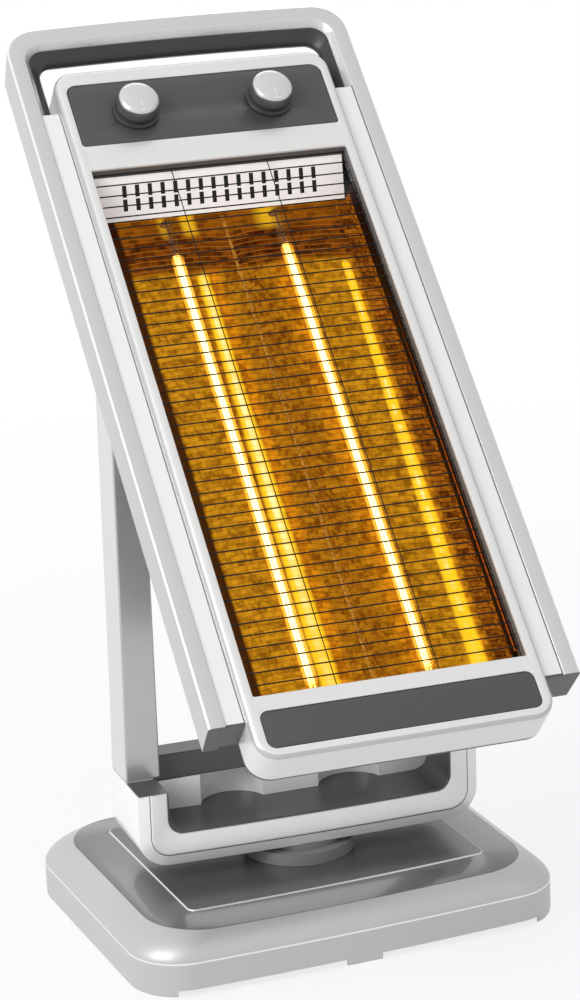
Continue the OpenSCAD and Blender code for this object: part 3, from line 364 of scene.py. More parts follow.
def cut(obj, form):
    """Takes a form's blocks, given in the object's own frame, out of its mesh."""
    cutter = bpy.data.objects.new("cutter", form.mesh("cutter"))
    cutter.matrix_world = obj.matrix_world
    bpy.context.scene.collection.objects.link(cutter)
    mod = obj.modifiers.new("cut", "BOOLEAN")
    mod.object = cutter
    mod.operation = "DIFFERENCE"
    mod.solver = "EXACT"
    graph = bpy.context.evaluated_depsgraph_get()
    obj.data = bpy.data.meshes.new_from_object(obj.evaluated_get(graph))
    obj.modifiers.clear()
    round_off(obj.data)
    bpy.data.objects.remove(cutter)


# ---- Materials ----

class Value:
    """A socket whose sums and products are written as plain expressions."""

    def __init__(self, shade, socket):
        self.shade, self.socket = shade, socket

    def _math(self, operation, a, b=None, clamp=False):
        settings = {"operation": operation, "use_clamp": clamp}
        return self.shade.node("ShaderNodeMath", settings, {0: a} if b is None else {0: a, 1: b})

    def __add__(self, other):
        return self._math("ADD", self, other)

    __radd__ = __add__

    def __sub__(self, other):
        return self._math("SUBTRACT", self, other)

    def __rsub__(self, other):
        return self._math("SUBTRACT", other, self)

    def __mul__(self, other):
        return self._math("MULTIPLY", self, other)

    __rmul__ = __mul__

    def __truediv__(self, other):
        return self._math("DIVIDE", self, other)

    def __lt__(self, other):
        return self._math("LESS_THAN", self, other)

    def __abs__(self):
        return self._math("ABSOLUTE", self)

    def clamp(self):
        return self._math("ADD", self, 0.0, clamp=True)

    def fraction(self):
        return self._math("FRACT", self)

    def rounded_down(self):
        return self._math("FLOOR", self)


class Nodes:
    """A node tree of a material or of the world."""

    def __init__(self, owner):
        owner.use_nodes = True
        self.tree = owner.node_tree

    def node(self, kind, settings=None, inputs=None, output=0):
        n = self.tree.nodes.new(kind)
        for key, value in (settings or {}).items():
            setattr(n, key, value)
        for key, value in (inputs or {}).items():
            self.feed(n.inputs[key], value)
        return Value(self, n.outputs[output])

    def feed(self, socket, value):
        """Links a value to a socket, or sets it; a function is asked for its value first."""
        if callable(value):
            value = value()
        if isinstance(value, Value):
            self.tree.links.new(value.socket, socket)
        elif socket.type == "RGBA" and len(value) == 3:
            socket.default_value = (*value, 1.0)
        else:
            socket.default_value = value

    def blend(self, out, factor, a, b):
        """Two shaders mixed by a factor, into the output node of that name."""
        self.feed(self.tree.nodes[out].inputs["Surface"],
                  self.node("ShaderNodeMixShader", {}, {0: factor, 1: a, 2: b}))

    def seen(self):
        """1 for the rays of the camera, of reflections and of clear parts, else 0."""
        outs = self.node("ShaderNodeLightPath").socket.node.outputs
        camera, glossy, clear = (Value(self, outs[f"Is {kind} Ray"])
                                 for kind in ("Camera", "Glossy", "Transmission"))
        return (camera + glossy + clear).clamp()


class Shade(Nodes):
    """One material and the nodes that make it."""

    def __init__(self, name):
        self.material = bpy.data.materials.new(name)
        super().__init__(self.material)
        self.main = self.tree.nodes["Principled BSDF"]

    def set(self, **values):
        """Feeds the main shader's sockets, named with _ for a space."""
        for key, value in values.items():
            self.feed(self.main.inputs[key.replace("_", " ")], value)
        return self

    def place(self):
        """Object coordinates in millimetres."""
        at = self.node("ShaderNodeTexCoord", output=3)
        return self.node("ShaderNodeVectorMath", {"operation": "SCALE"}, {0: at, 3: 1 / MM})

    def axes(self):
        parts = self.node("ShaderNodeSeparateXYZ", inputs={0: self.place()})
        return [Value(self, o) for o in parts.socket.node.outputs]

    def noise(self, scale, detail, roughness=0.5, at=None):
        """Noise of about one speck each 1 / scale millimetres."""
        return self.node("ShaderNodeTexNoise", {}, {"Vector": at or self.place(), "Scale": scale,
                                                    "Detail": detail, "Roughness": roughness})

    def mix(self, factor, a, b):
        """Colour between two, by a factor."""
        return self.node("ShaderNodeMix", {"data_type": "RGBA"}, {0: factor, 6: a, 7: b}, output=2)

    def bump(self, height, strength, depth):
        """Relief of that many millimetres, feeding the normal."""
        relief = {"Strength": strength, "Distance": depth * MM, "Height": height}
        return self.set(Normal=self.node("ShaderNodeBump", {}, relief))


def setting(key):
    """A value of the finish settings."""
    return getattr(bpy.context.scene.heater_finish, key)


def grey(level):
    return (level, level, level * 1.01)


def scaled(colour, k):
    return tuple(min(c * k, 1.0) for c in colour)


def both_ways(colour, share):
    """The colour darker and lighter by a share."""
    return scaled(colour, 1 - share), scaled(colour, 1 + share)


def chosen(key, k=1.0):
    """A colour of the settings, read when the material is made, k times as bright."""
    return lambda: scaled(tuple(setting(key)), k)


def lit_by(colour, k=1.0, key="reflector_glow"):
    """The sockets of a material's own light, at k times the strength in the settings."""
    return {"Emission_Color": colour, "Emission_Strength": lambda: setting(key) * k}


MADE = {}


def finish(name):
    """The material of that name, made once."""
    if name not in MADE:
        MADE[name] = FINISHES[name](name).material
    return MADE[name]


def paint(colour, metallic, roughness, coat=0.3):
    """Maker of a sprayed metallic paint over moulded plastic."""
    def make(name):
        s = Shade(name)
        base = colour() if callable(colour) else colour
        fine = s.noise(2.4, 2.0)
        cloud = s.noise(0.03, 2.0)
        s.set(Base_Color=s.mix(fine * 0.6 + cloud * 0.4, *both_ways(base, 0.05)),
              Metallic=metallic, Roughness=roughness - 0.03 + 0.06 * cloud,
              Coat_Weight=coat, Coat_Roughness=0.12)
        return s.bump(s.noise(0.35, 2.0), 0.25, 0.04)
    return make


def plastic(colour, roughness, grain=0.5, depth=0.03, spread=0.08, coat=0.0):
    """Maker of a moulded plastic with a fine spark-eroded grain."""
    def make(name):
        s = Shade(name)
        base = colour() if callable(colour) else colour
        fine = s.noise(grain * 3, 4.0, 0.6)
        cloud = s.noise(0.02, 2.0)
        s.set(Base_Color=s.mix(fine * 0.5 + cloud * 0.5, *both_ways(base, spread)),
              Roughness=roughness - 0.05 + 0.1 * fine, Coat_Weight=coat, Coat_Roughness=0.08)
        return s.bump(fine, 0.4, depth)
    return make


def metal(colour, roughness):
    """Maker of a sheet or turned metal with a drawn grain."""
    def make(name):
        s = Shade(name)
        x, y, z = s.axes()
        at = s.node("ShaderNodeCombineXYZ", inputs={0: x * 0.02, 1: y * 1.5, 2: z * 1.5})
        grain = s.noise(1.0, 3.0, 0.6, at)
        s.set(Base_Color=s.mix(grain, scaled(colour, 0.86), scaled(colour, 1.08)), Metallic=1.0,
              Roughness=roughness - 0.06 + 0.14 * grain)
        return s.bump(grain, 0.2, 0.02)
    return make


def grained(low, high, noise, roughness, relief, **more):
    """Maker of a material in which one noise drives the colour, the gloss and the relief."""
    def make(name):
        s = Shade(name)
        grain = s.noise(*noise)
        s.set(Base_Color=s.mix(grain, low, high), Roughness=roughness[0] + roughness[1] * grain,
              **more)
        return s.bump(grain, *relief)
    return make


def cells(s, x, z, width):
    """Rows of brick-like cells: the row's rank, a number for each cell, and the masks of its
    outline, which is embossed and darkened as painted shadow of the guard wires.
    """
    row = (z + 1.2 * s.noise(0.05, 2.0)) / CELL_PITCH
    rank = row.rounded_down()
    column = x / width + (rank * 0.5).fraction() + 0.25 * s.noise(0.12, 2.0)
    at = s.node("ShaderNodeCombineXYZ", inputs={0: column.rounded_down(), 1: rank})
    jitter = s.node("ShaderNodeTexWhiteNoise", {"noise_dimensions": "2D"}, {"Vector": at})
    level = ((abs(row.fraction() - 0.5) - 0.36) * 9.0).clamp()
    upright = ((abs(column.fraction() - 0.5) - 0.42) * 14.0).clamp()
    return rank, jitter, level, upright


def near(value, centre, half):
    """1 at the centre, falling to 0 at a distance of half."""
    return (1.0 - abs(value - centre) / half).clamp()


def between(value, low, rise, high, fall):
    """1 inside a span, rising over a width at its low end and falling over one at its high end."""
    return ((value - low) / rise).clamp() * ((high - value) / fall).clamp()


def gold_cells(s, a, mottle, jitter):
    """The gold beside and between the tubes as painted reflection, with an orange halo of painted
    glow round each tube and a brown edge.
    """
    gold = s.mix(near(a, -6.0, 62.0), (0.57, 0.228, 0.005), (0.33, 0.085, 0.001))
    halo = near(a, -61.0, 13.0) + near(a, -36.0, 9.0) + near(a, 25.0, 15.0) + near(a, 80.0, 7.0)
    gold = s.mix(halo.clamp(), gold, (0.82, 0.235, 0.002))
    gold = s.mix(near(a, -56.5, 3.2) * 0.9, gold, (0.20, 0.032, 0.001))
    gold = s.mix(((a - 82.0) / 5.0).clamp(), gold, (0.20, 0.045, 0.002))
    tone = (0.55 + 3.0 * (mottle - 0.5) + 0.75 * (jitter - 0.5)).clamp()
    return s.mix(tone, s.mix(0.62, gold, (0.03, 0.006, 0.001)),
                 s.mix(0.24, gold, (0.75, 0.40, 0.020)))


def bright_bands(s, a, u, rank, jitter):
    """The painted reflection of each tube along the lit length: a bright band beside it and its
    paler core.
    """
    lit = ((LIT_TOP - u) / 5.0).clamp()
    taper = ((u + 255.0) / 350.0).clamp()
    left, right = a - 2.0 * taper, a - 4.0 * taper
    patch = s.node("ShaderNodeTexWhiteNoise", {"noise_dimensions": "2D"},
                   {"Vector": s.node("ShaderNodeCombineXYZ", inputs={0: 7.0, 1: rank})})
    band = ((near(left, -48.0, 9.5 - 3.5 * taper) * 2.6).clamp()
            + (near(right, 73.5, 8.0 - 4.0 * taper) * 2.6).clamp()).clamp()
    core = ((near(left, -48.0, 4.2 - 1.5 * taper) * 1.5).clamp() * (0.35 + 0.65 * patch)
            + near(right, 73.5, 3.0 - 1.6 * taper) * (patch - 0.25)).clamp()
    middle = (0.25 + 1.1 * near(u, -60.0, 210.0)).clamp()
    return band * lit * (0.80 + 0.35 * jitter).clamp(), core * lit * middle


def dark_rows(s, a, u, mottle, jitter, level):
    """Above the lit length: dark rows of painted shade with tan lines, then brown gold with two
    yellow patches of painted reflection.
    """
    spread = (0.30 + 1.8 * (mottle - 0.45) + 0.8 * (jitter - 0.5)).clamp()
    dark = s.mix(spread, (0.035, 0.004, 0.001), (0.24, 0.058, 0.003))
    top = ((u - ROWS_TOP) / 7.0).clamp()
    dark = s.mix(top * (0.35 + 0.5 * jitter), dark, (0.29, 0.088, 0.003))
    spot = (near(a, -44.0, 8.0) + near(a, 24.0, 13.0) * 0.7 + near(a, -66.0, 5.0) * 0.4).clamp()
    dark = s.mix((spot * 1.8).clamp() * top, dark, (0.78, 0.42, 0.012))
    line = level * (0.25 + 0.6 * s.noise(0.2, 2.0)) * (1.0 - 0.5 * top)
    return s.mix(line, dark, (0.42, 0.170, 0.025))


def gold_reflector(name):
    """Bright sheet whose colour is its own light, painted reflection of the glowing tubes: gold
    cells, bright bands and dark upper rows of painted shade.
    """
    s = Shade(name)
    x, y, z = s.axes()
    depth = FACE_Y - y
    a, u = x + SIDE_SLOPE * depth, z + LEVEL_SLOPE * depth
    rank, jitter, level, upright = cells(s, a, u, 7.5)
    mottle = s.noise(0.19, 5.0, 0.6)
    # Painted shadows and reflections of the guard wires along the cell outlines
    wire_shade = (level * 0.38 + upright * 0.16).clamp()
    gold = s.mix(wire_shade, gold_cells(s, a, mottle, jitter), (0.11, 0.028, 0.002))
    upper = ((u - LIT_TOP) / 5.0 + (mottle - 0.5)).clamp()
    band, core = bright_bands(s, a, u, rank, jitter)
    glow = s.mix(upper, gold, dark_rows(s, a, u, mottle, jitter, level))
    glow = s.mix(band, glow, (1.15, 0.68, 0.020))
    glow = s.mix(core, glow, (1.25, 1.10, 0.50))
    glow = s.mix(level * band * 0.25, glow, (0.60, 0.25, 0.01))
    # Painted shadow along the window's left edge
    glow = s.mix(((-102.5 - a) / 2.5).clamp(), glow, (0.020, 0.005, 0.002))
    s.set(Base_Color=(0.03, 0.010, 0.0005), Metallic=1.0, Roughness=0.5 + 0.2 * mottle,
          **lit_by(glow))
    return s.bump(level * -1.0 + mottle * 0.6, 0.5, 0.4)


def gold_wall(name):
    """The dark side wall, where small orange dots of painted reflection stand behind a black front
    part, with a red-orange stripe of painted reflection near the front; the left wall stays dark.
    """
    s = Shade(name)
    x, y, z = s.axes()
    depth = FACE_Y - y
    u = z + LEVEL_SLOPE * depth
    _, jitter, level, _ = cells(s, depth * 2.2, u, 9.0)
    mottle = s.noise(0.3, 5.0, 0.7)
    dots = ((1.0 - level) * (mottle * 2.2 - 0.75 + 0.7 * (jitter - 0.4))).clamp()
    glow = s.mix(dots, (0.060, 0.011, 0.001), (0.46, 0.140, 0.007))
    glow = s.mix(((-17.0 - depth) / 3.0).clamp(), (0.003, 0.001, 0.001), glow)
    stripe = near(depth, -9.6, 1.6) * ((60.0 - u) / 260.0).clamp()
    glow = s.mix((stripe * 1.8).clamp(), glow, (0.42, 0.075, 0.012))
    glow = s.mix(x < 0.0, glow, (0.022, 0.005, 0.002))
    s.set(Base_Color=(0.02, 0.008, 0.002), Metallic=1.0, Roughness=0.5 + 0.2 * mottle,
          **lit_by(glow))
    return s.bump(mottle, 0.3, 0.1)


def gold_joint(name):
    """The folded joint between the two troughs, a thin pale line of painted highlight."""
    s = Shade(name)
    fine = s.noise(0.5, 3.0)
    glow = s.mix(((fine - 0.35) * 3.0).clamp(), (0.20, 0.060, 0.004), (0.50, 0.230, 0.035))
    s.set(Base_Color=(0.05, 0.02, 0.002), Metallic=1.0, Roughness=0.4 + 0.2 * fine, **lit_by(glow))
    return s.bump(fine, 0.3, 0.1)


def glow_coil(name):
    s = Shade(name)
    z = s.axes()[2]
    fine = s.noise(0.25, 2.0)
    tip = between(z, COIL_LOW + 2.0, 14.0, COIL_TOP - 4.0, 16.0)
    glow = s.mix(tip, (1.0, 0.55, 0.09), s.mix(fine, (1.0, 0.93, 0.62), (1.0, 0.99, 0.90)))
    s.set(Base_Color=(0.9, 0.7, 0.4), Roughness=0.5 + 0.1 * fine,
          **lit_by(glow, key="lamp_glow"))
    return s


def glow_gas(name):
    """The bright haze round a coil: yellow, fading to orange at both ends."""
    s = Shade(name)
    z = s.axes()[2]
    fine = s.noise(0.2, 3.0)
    tip = between(z, COIL_LOW, 12.0, COIL_TOP - 2.0, 12.0)
    yellow = s.mix(fine, (0.90, 0.47, 0.020), (0.98, 0.62, 0.050))
    s.set(Base_Color=(0.1, 0.05, 0.01), Roughness=0.4 + 0.2 * fine, Alpha=0.25 + 0.45 * tip,
          **lit_by(s.mix(tip, (0.85, 0.30, 0.008), yellow), 1.1))
    return s


def quartz(name):
    """Clear tube, just tinted by the light of its coil."""
    s = Shade(name)
    z = s.axes()[2]
    fine = s.noise(0.4, 2.0)
    lit = between(z, COIL_LOW - 4.0, 10.0, COIL_TOP + 2.0, 10.0)
    s.set(Base_Color=s.mix(fine, (0.30, 0.18, 0.06), (0.36, 0.22, 0.08)),
          Roughness=0.05 + 0.05 * fine, Alpha=0.05 + 0.07 * lit,
          **lit_by(s.mix(lit, (0.02, 0.008, 0.001), (0.70, 0.26, 0.015))))
    return s


def stage_floor(name):
    """Pale floor with a soft shadow, which turns fully white away from the object."""
    s = Shade(name)
    fine = s.noise(0.01, 2.0)
    s.set(Base_Color=s.mix(fine, (0.86, 0.86, 0.86), (0.90, 0.90, 0.90)), Roughness=0.9)
    white = s.node("ShaderNodeEmission", {}, {"Color": (1.0, 1.0, 1.0), "Strength": 1.0})
    length = s.node("ShaderNodeVectorMath", {"operation": "LENGTH"}, {0: s.place()}, output=1)
    share = s.seen() * (0.80 + 0.20 * ((length - WHITE_FROM) / WHITE_OVER).clamp())
    s.blend("Material Output", share, Value(s, s.main.outputs[0]), white)
    return s


FINISHES = {
    "frame paint": paint(chosen("silver", 1.18), 0.45, 0.32),
    # A darker copy of the frame paint: painted shade on the frame's side faces
    "frame side paint": paint(chosen("silver", 1.0), 0.4, 0.34),
    # A lighter copy of the frame paint: painted highlight on the frame's inner lip
    "frame lip paint": paint(chosen("silver", 1.25), 0.45, 0.28),
    "crease highlight": paint(chosen("silver", 1.75), 0.6, 0.2, coat=0.6),
    "stand paint": paint(chosen("silver", 1.8), 0.25, 0.32),
    # A slightly darker copy of the stand paint: painted shade on the lower bar's flat face
    "stand bevel": paint(chosen("silver", 1.7), 0.3, 0.3),
    "arm paint": paint(chosen("silver"), 0.5, 0.26, coat=0.4),
    # A lighter copy of the arm paint: painted light on the arms' outer faces
    "arm side paint": paint(chosen("silver", 1.3), 0.35, 0.34),
    "base paint": paint(chosen("silver", 1.1), 0.4, 0.42, coat=0.05),
    # Pale silver: paint of the knob pointers, and painted highlight on the step of the base panel
    "pale silver paint": paint(chosen("pale"), 0.35, 0.32),
    "strip paint": paint(chosen("pale", 1.15), 0.3, 0.32),
    "bezel paint": paint(chosen("pale"), 0.3, 0.36),
    # A darker copy of the bezel paint: painted shade on the bezel's rounded rim
    "bezel rim paint": paint(chosen("pale", 0.7), 0.4, 0.32),
    # A lighter copy of the silver: painted light on the rear wall and its niches
    "niche silver paint": paint(chosen("silver", 1.75), 0.15, 0.3, coat=0.4),
    "dark panel gloss": plastic(chosen("dark"), 0.42, 0.6, 0.01, 0.06, coat=0.12),
    # Dark grey as painted shade on the walls of the window and of the bezel's recesses
    "return wall grey": plastic(grey(0.14), 0.5, 0.5, 0.02),
    # Dark plastic of the linings, caps, crossbar and rear housing, and painted shade on the rail
    # ends and in the crease of the stand's lower bar
    "dark lining": plastic(grey(0.078), 0.42, 0.5, 0.03, 0.1, coat=0.15),
    "base panel slope": plastic(grey(0.13), 0.26, 0.4, 0.01, 0.05, coat=0.4),
    # A darker copy of the panel grey: painted reflection of the stand on the panel's inner flat
    "base panel gloss": plastic(grey(0.085), 0.26, 0.4, 0.01, 0.05, coat=0.3),
    "collar grey": plastic(grey(0.22), 0.45, 0.5, 0.02),
    "handle dark": plastic(grey(0.018), 0.42, 0.5, 0.03, 0.1, coat=0.15),
    "black moulding": plastic(grey(0.022), 0.45, 0.6, 0.05, 0.15),
    "thermoset": plastic((0.06, 0.05, 0.045), 0.4, 0.5, 0.03),
    "cream moulding": plastic((0.62, 0.58, 0.47), 0.45, 0.5, 0.03),
    "knob side": paint(grey(0.10), 0.3, 0.34, coat=0.2),
    "knob foot": plastic(grey(0.03), 0.4, 0.5, 0.02),
    "knob face": paint(grey(0.62), 0.3, 0.24, coat=0.5),
    "tick ink": plastic(grey(0.13), 0.5, 0.5, 0.01),
    "rubber": grained((0.012, 0.012, 0.012), (0.035, 0.035, 0.035), (1.5, 4.0), (0.7, 0.15),
                      (0.5, 0.06)),
    "fibre": plastic((0.10, 0.09, 0.08), 0.8, 0.8, 0.08, 0.2),
    "zinc steel": metal((0.52, 0.52, 0.53), 0.34),
    "stainless sheet": metal((0.60, 0.60, 0.60), 0.38),
    # Painted glow: the sheet's own light stands in for the light of the lamps falling on it
    "air sheet": grained((0.90, 0.87, 0.86), (0.96, 0.94, 0.93), (0.6, 3.0), (0.5, 0.1),
                         (0.2, 0.02), Emission_Color=(1.0, 0.93, 0.90), Emission_Strength=0.20),
    # Chrome wire, painted near black as painted shade against the glowing window
    "guard wire": paint(grey(0.02), 0.9, 0.5, coat=0.0),
    "lamp lead": plastic((0.10, 0.03, 0.006), 0.5, 0.5, 0.01),
    "cast iron": grained((0.05, 0.05, 0.05), (0.14, 0.135, 0.13), (0.5, 6.0, 0.7), (0.55, 0.3),
                         (0.6, 0.3), Metallic=0.7),
    # Its own light is painted glow of the lamps on the ceramic ends
    "ceramic": grained((0.30, 0.22, 0.12), (0.42, 0.31, 0.18), (1.2, 4.0), (0.6, 0.2), (0.4, 0.05),
                       **lit_by((0.10, 0.035, 0.004))),
    # The reflector sheets, their walls and their joint show painted reflections of the lamps and
    # painted shade as their own light
    "gold reflector": gold_reflector,
    "gold wall": gold_wall,
    "gold joint": gold_joint,
    "glowing haze": glow_gas,
    "glowing coil": glow_coil,
    "quartz": quartz,
    "floor": stage_floor,
}

BARE_NODES = {
    "black moulding": ("base_bottom_plate", "tip_over_switch", "cord_gland"),
    "cast iron": ("ballast_plate",),
    "rubber": ("base_feet",),
    "cream moulding": ("base_terminal_block", "timer_unit"),
    "thermoset": ("power_switch", "thermal_cutout"),
    "collar grey": ("swivel_collar", "swivel_spindle"),
    "stand paint": ("stand_back_plate",),
    "fibre": ("friction_washers",),
    # The rail end caps take this as painted shade on the rails' downward ends
    "dark lining": ("rail_end_caps",),
    "stainless sheet": ("heat_shield",),
    "zinc steel": ("base_screws", "spindle_nut", "stand_beam", "left_arm_core", "right_arm_core",
                   "pivot_bolts", "housing_screws", "left_tilt_bracket", "right_tilt_bracket",
                   "lamp_brackets", "power_shaft", "timer_shaft"),
}


# ---- Settings ----

class HeaterSizes(bpy.types.PropertyGroup):
    wire_d: FloatProperty(
        name="Guard wire", description="Diameter of a wire of the guard",
        default=1.15 * MM, min=1 * MM, max=3 * MM, unit="LENGTH")
    wire_rows: IntProperty(
        name="Guard rows", description="Number of gaps between the level wires of the guard",
        default=46, min=20, max=60)
    coil_turns: IntProperty(
        name="Coil turns", description="Turns of the glowing coil in each tube",
        default=150, min=40, max=220)


class HeaterFinish(bpy.types.PropertyGroup):
    silver: FloatVectorProperty(
        name="Silver", description="Paint of the frame, the stand and the base",
        default=(0.50, 0.50, 0.50), min=0, max=1, size=3, subtype="COLOR")
    pale: FloatVectorProperty(
        name="Pale silver", description="Paint of the bezel and the side strips",
        default=(0.74, 0.74, 0.735), min=0, max=1, size=3, subtype="COLOR")
    dark: FloatVectorProperty(
        name="Dark grey", description="Colour of the control strip and the lower strip",
        default=(0.056, 0.056, 0.057), min=0, max=1, size=3, subtype="COLOR")
    lamp_glow: FloatProperty(
        name="Lamp glow", description="Strength of the light of the coils",
        default=4.0, min=0, max=20)
    reflector_glow: FloatProperty(
        name="Reflector glow", description="Strength of the light that the reflectors give back",
        default=1.0, min=0, max=4)


# ---- Pieces ----

class HeaterOperator:
    """Shared settings of the building steps."""
    bl_options = {"REGISTER", "UNDO"}


class HEATER_OT_base(HeaterOperator, bpy.types.Operator):
    """Base shell with its shoulder and foot tabs, and the glossy top panel"""
    bl_idname = "heater.base"
    bl_label = "Base"

    def execute(self, context):
        def up(p, z):
            return (p[0], -p[1], z)
        shell = Form()
        shoulder = [(12 * t ** 1.7, 8 * t ** 1.7, t ** 1.7, SKIRT_TOP + (BASE_TOP - SKIRT_TOP) * t)
                    for t in even(0, 1, 12)[1:]]
        profile = ([(0.8, 0, 0, 0.6), (0.25, 0, 0, 1.6), (0, 0, 0, 3), (0, 0, 0, 27.4),
                    (-0.05, 0, 0, 28.0), (0.1, 0.0, 0.0, 28.7)] + shoulder
                   + [(12.5, 8, 1, 48.3), (12.8, 8, 1, 46.0), (15, 8, 1, 44.0), (3, 0, 0, 26.0),
                      (2.6, 0, 0, 0.6), (0.8, 0, 0, 0.6)])
        crease = (3, 4)
        rows = [shell.row(up(p, z) for p in base_ring(inset, side, blend))
                for inset, side, blend, z in profile]
        shell.skin(rows, slot=[int(i in crease) for i in range(len(rows) - 1)])
        obj = shell.dress("base_shell", "base", ["base paint", "crease highlight"],
                          "silver_plastic")
        notch = Form()
        for s in (-1, 1):
            notch.block((s * 15, -150, -5), (s * 157, 150, 6))
        cut(obj, notch)

        panel = Form()
        levels = [(0.5, 45.8), (0.5, 47.9), (0.9, 48.4), (2.0, 48.9), (32.6, 51.3), (33.2, 51.4),
                  (33.6, 52.0), (34.3, 52.35), (35.2, 52.3)]
        rows = panel.rings(panel_ring, levels, up)
        # Slots by band: the slope, the step's edge in pale silver as painted highlight, and the
        # inner flat, darker as painted reflection
        panel.skin(rows, slot=[0] * 5 + [1, 1, 2])
        panel.face(rows[-1], 2)
        panel.face(rows[0])
        panel.dress("base_top_panel", "base",
                    ["base panel slope", "pale silver paint", "base panel gloss"], "base_panel",
                    smooth=24)
        return {"FINISHED"}


class HEATER_OT_stand(HeaterOperator, bpy.types.Operator):
    """Swivelling stand: bevelled lower bar with stubs, lining, rear wall with niches, and arms"""
    bl_idname = "heater.stand"
    bl_label = "Stand"

    def execute(self, context):
        self.lower_bar()
        self.rear_wall()
        for side in (-1, 1):
            self.arm(side)
        return {"FINISHED"}

    def lower_bar(self):
        def at(w, low, r, bow, y):
            """Line of the U: half width, lowest height, corner radius, bow and depth."""
            return [(x, y, z) for x, z in trough(w, low, STUB_TOP, r, bow)]
        bar = Form()
        spec = [(146, 68, 26, 1.2, 36.0), (146, 68, 26, 1.2, -33.2),
                (145.7, 68.3, 25.7, 1.2, -34.0), (144.9, 69.1, 24.9, 1.2, -34.35),
                (136.6, 77.4, 16.6, 1.2, -37.3), (135.9, 78.1, 15.9, 1.2, -37.4),
                (135.2, 78.8, 15.2, 1.2, -38.0), (123.0, 93.6, 14.7, 0.9, -38.0),
                (121.7, 94.9, 13.4, 0.84, -37.4), (121.9, 94.7, 13.6, 0.84, -35.0),
                (121.9, 94.7, 13.6, 0.84, 36.0)]
        # Slots by band: the crease between the bevel and the flat face is dark, as painted shade in
        # the crease, and the flat face takes a slightly darker copy of the stand paint, as painted
        # shade
        bar.ribbon([bar.row(at(*line)) for line in spec], [0, 0, 0, 0, 2, 1, 1, 1, 1, 0, 0])
        bar.piece("stand_bar_dressed", "stand", ["stand paint", "stand bevel", "dark lining"],
                  "silver_bar", replaces=["stand_cover"], bevel=0.5, segments=2, limit=40)

        lining = Form()
        spec = [(121.9, 94.7, 13.6, 0.84, -36.6), (120.6, 96.0, 12.3, 0.84, -36.6),
                (120.3, 96.3, 12.0, 0.84, -36.2), (120.3, 96.3, 12.0, 0.84, 38.0),
                (121.9, 94.7, 13.6, 0.84, 38.0)]
        lining.ribbon([lining.row(at(*line)) for line in spec])
        lining.dress("stand_lining", "stand", ["dark lining"], "dark_lining")

        caps = Form()
        for s in (-1, 1):
            caps.block((s * 122.2, -36.6, STUB_TOP), (s * 145.0, -3.2, STUB_TOP + 0.3))
        caps.dress("stub_caps", "stand", ["dark lining"], "dark_lining")

    def rear_wall(self):
        front_y, niche_y, niche_r = 14.0, 6.0, 28.0
        half = math.degrees(math.asin((front_y - niche_y) / niche_r))
        plan = [(-120.2, front_y)]
        for cx in (-51, 51):
            plan += [(cx - 26.9, front_y)] + arc(cx, niche_y, niche_r, 180 - half, half, 28)
            plan += [(cx + 26.9, front_y)]
        plan += [(120.2, front_y)]
        wall = Form()
        wall.ribbon([wall.row((x, min(y + thick, 37.6), z) for x, y in plan)
                     for thick, z in ((0, 95.6), (0, 122.0), (1.8, 122.0), (1.8, 95.6))])
        # The wall takes a lighter copy of the silver, as painted light that lifts its shade
        wall.dress("stand_rear_wall", "stand", ["niche silver paint"], "rear_wall", smooth=28)

        beam = box((-ARM_IN, 14, 122), (ARM_IN, 38, 144))
        beam.dress("crossbar", "stand", ["dark lining"], "dark_lining", bevel=1.4)

    def arm(self, side):
        knee, waist = 153, 201
        heights = [STUB_TOP, knee, waist, 320]
        front = [(ARM_FRONT, z) for z in heights]
        front += arc(PIVOT_Y, PIVOT_Z, 6.4, 180, 124, 8) + [(31.0, 450.6)]
        back = [(ARM_BACK, z) for z in heights + [PIVOT_Z + i * 0.8 for i in range(9)] + [444.6]]

        def out(z):
            """Half width of the stand at the arm's outer face."""
            if z < knee:
                return 145.7 - 0.4 * (z - STUB_TOP) / (knee - STUB_TOP)
            if z < waist:
                return 145.3 - 0.8 * (z - knee) / (waist - knee)
            return ARM_OUT - 1.5 * (z - waist) / 284
        arm = Form()
        rows = [arm.row([(side * ARM_IN, fy, fz), (side * out(fz), fy, fz),
                         (side * out(bz), by, bz), (side * ARM_IN, by, bz)])
                for (fy, fz), (by, bz) in zip(front, back)]
        arm.solid(rows)
        # The outer side faces take a lighter copy of the arm paint, as painted light
        outer_faces = slice(1, 4 * (len(rows) - 1), 4)
        arm.slots[outer_faces] = [1] * (len(rows) - 1)
        name = "left" if side < 0 else "right"
        arm.piece(f"{name}_arm_dressed", "stand", ["arm paint", "arm side paint"], "silver_plastic",
                  replaces=[f"{name}_arm_cover"], bevel=2.2, segments=4, limit=35)
        boss = Form()
        inner, outer = 110.8, ARM_IN + 0.6
        boss.lathe(lambda a, b, h: (side * h, PIVOT_Y + a, PIVOT_Z + b),
                   [(4.4, inner), (7.4, inner), (8.0, inner + 0.6), (8.0, outer), (4.4, outer),
                    (4.4, inner)], n=40)
        boss.piece(f"{name}_arm_boss", "stand", ["arm paint"], "silver_plastic")


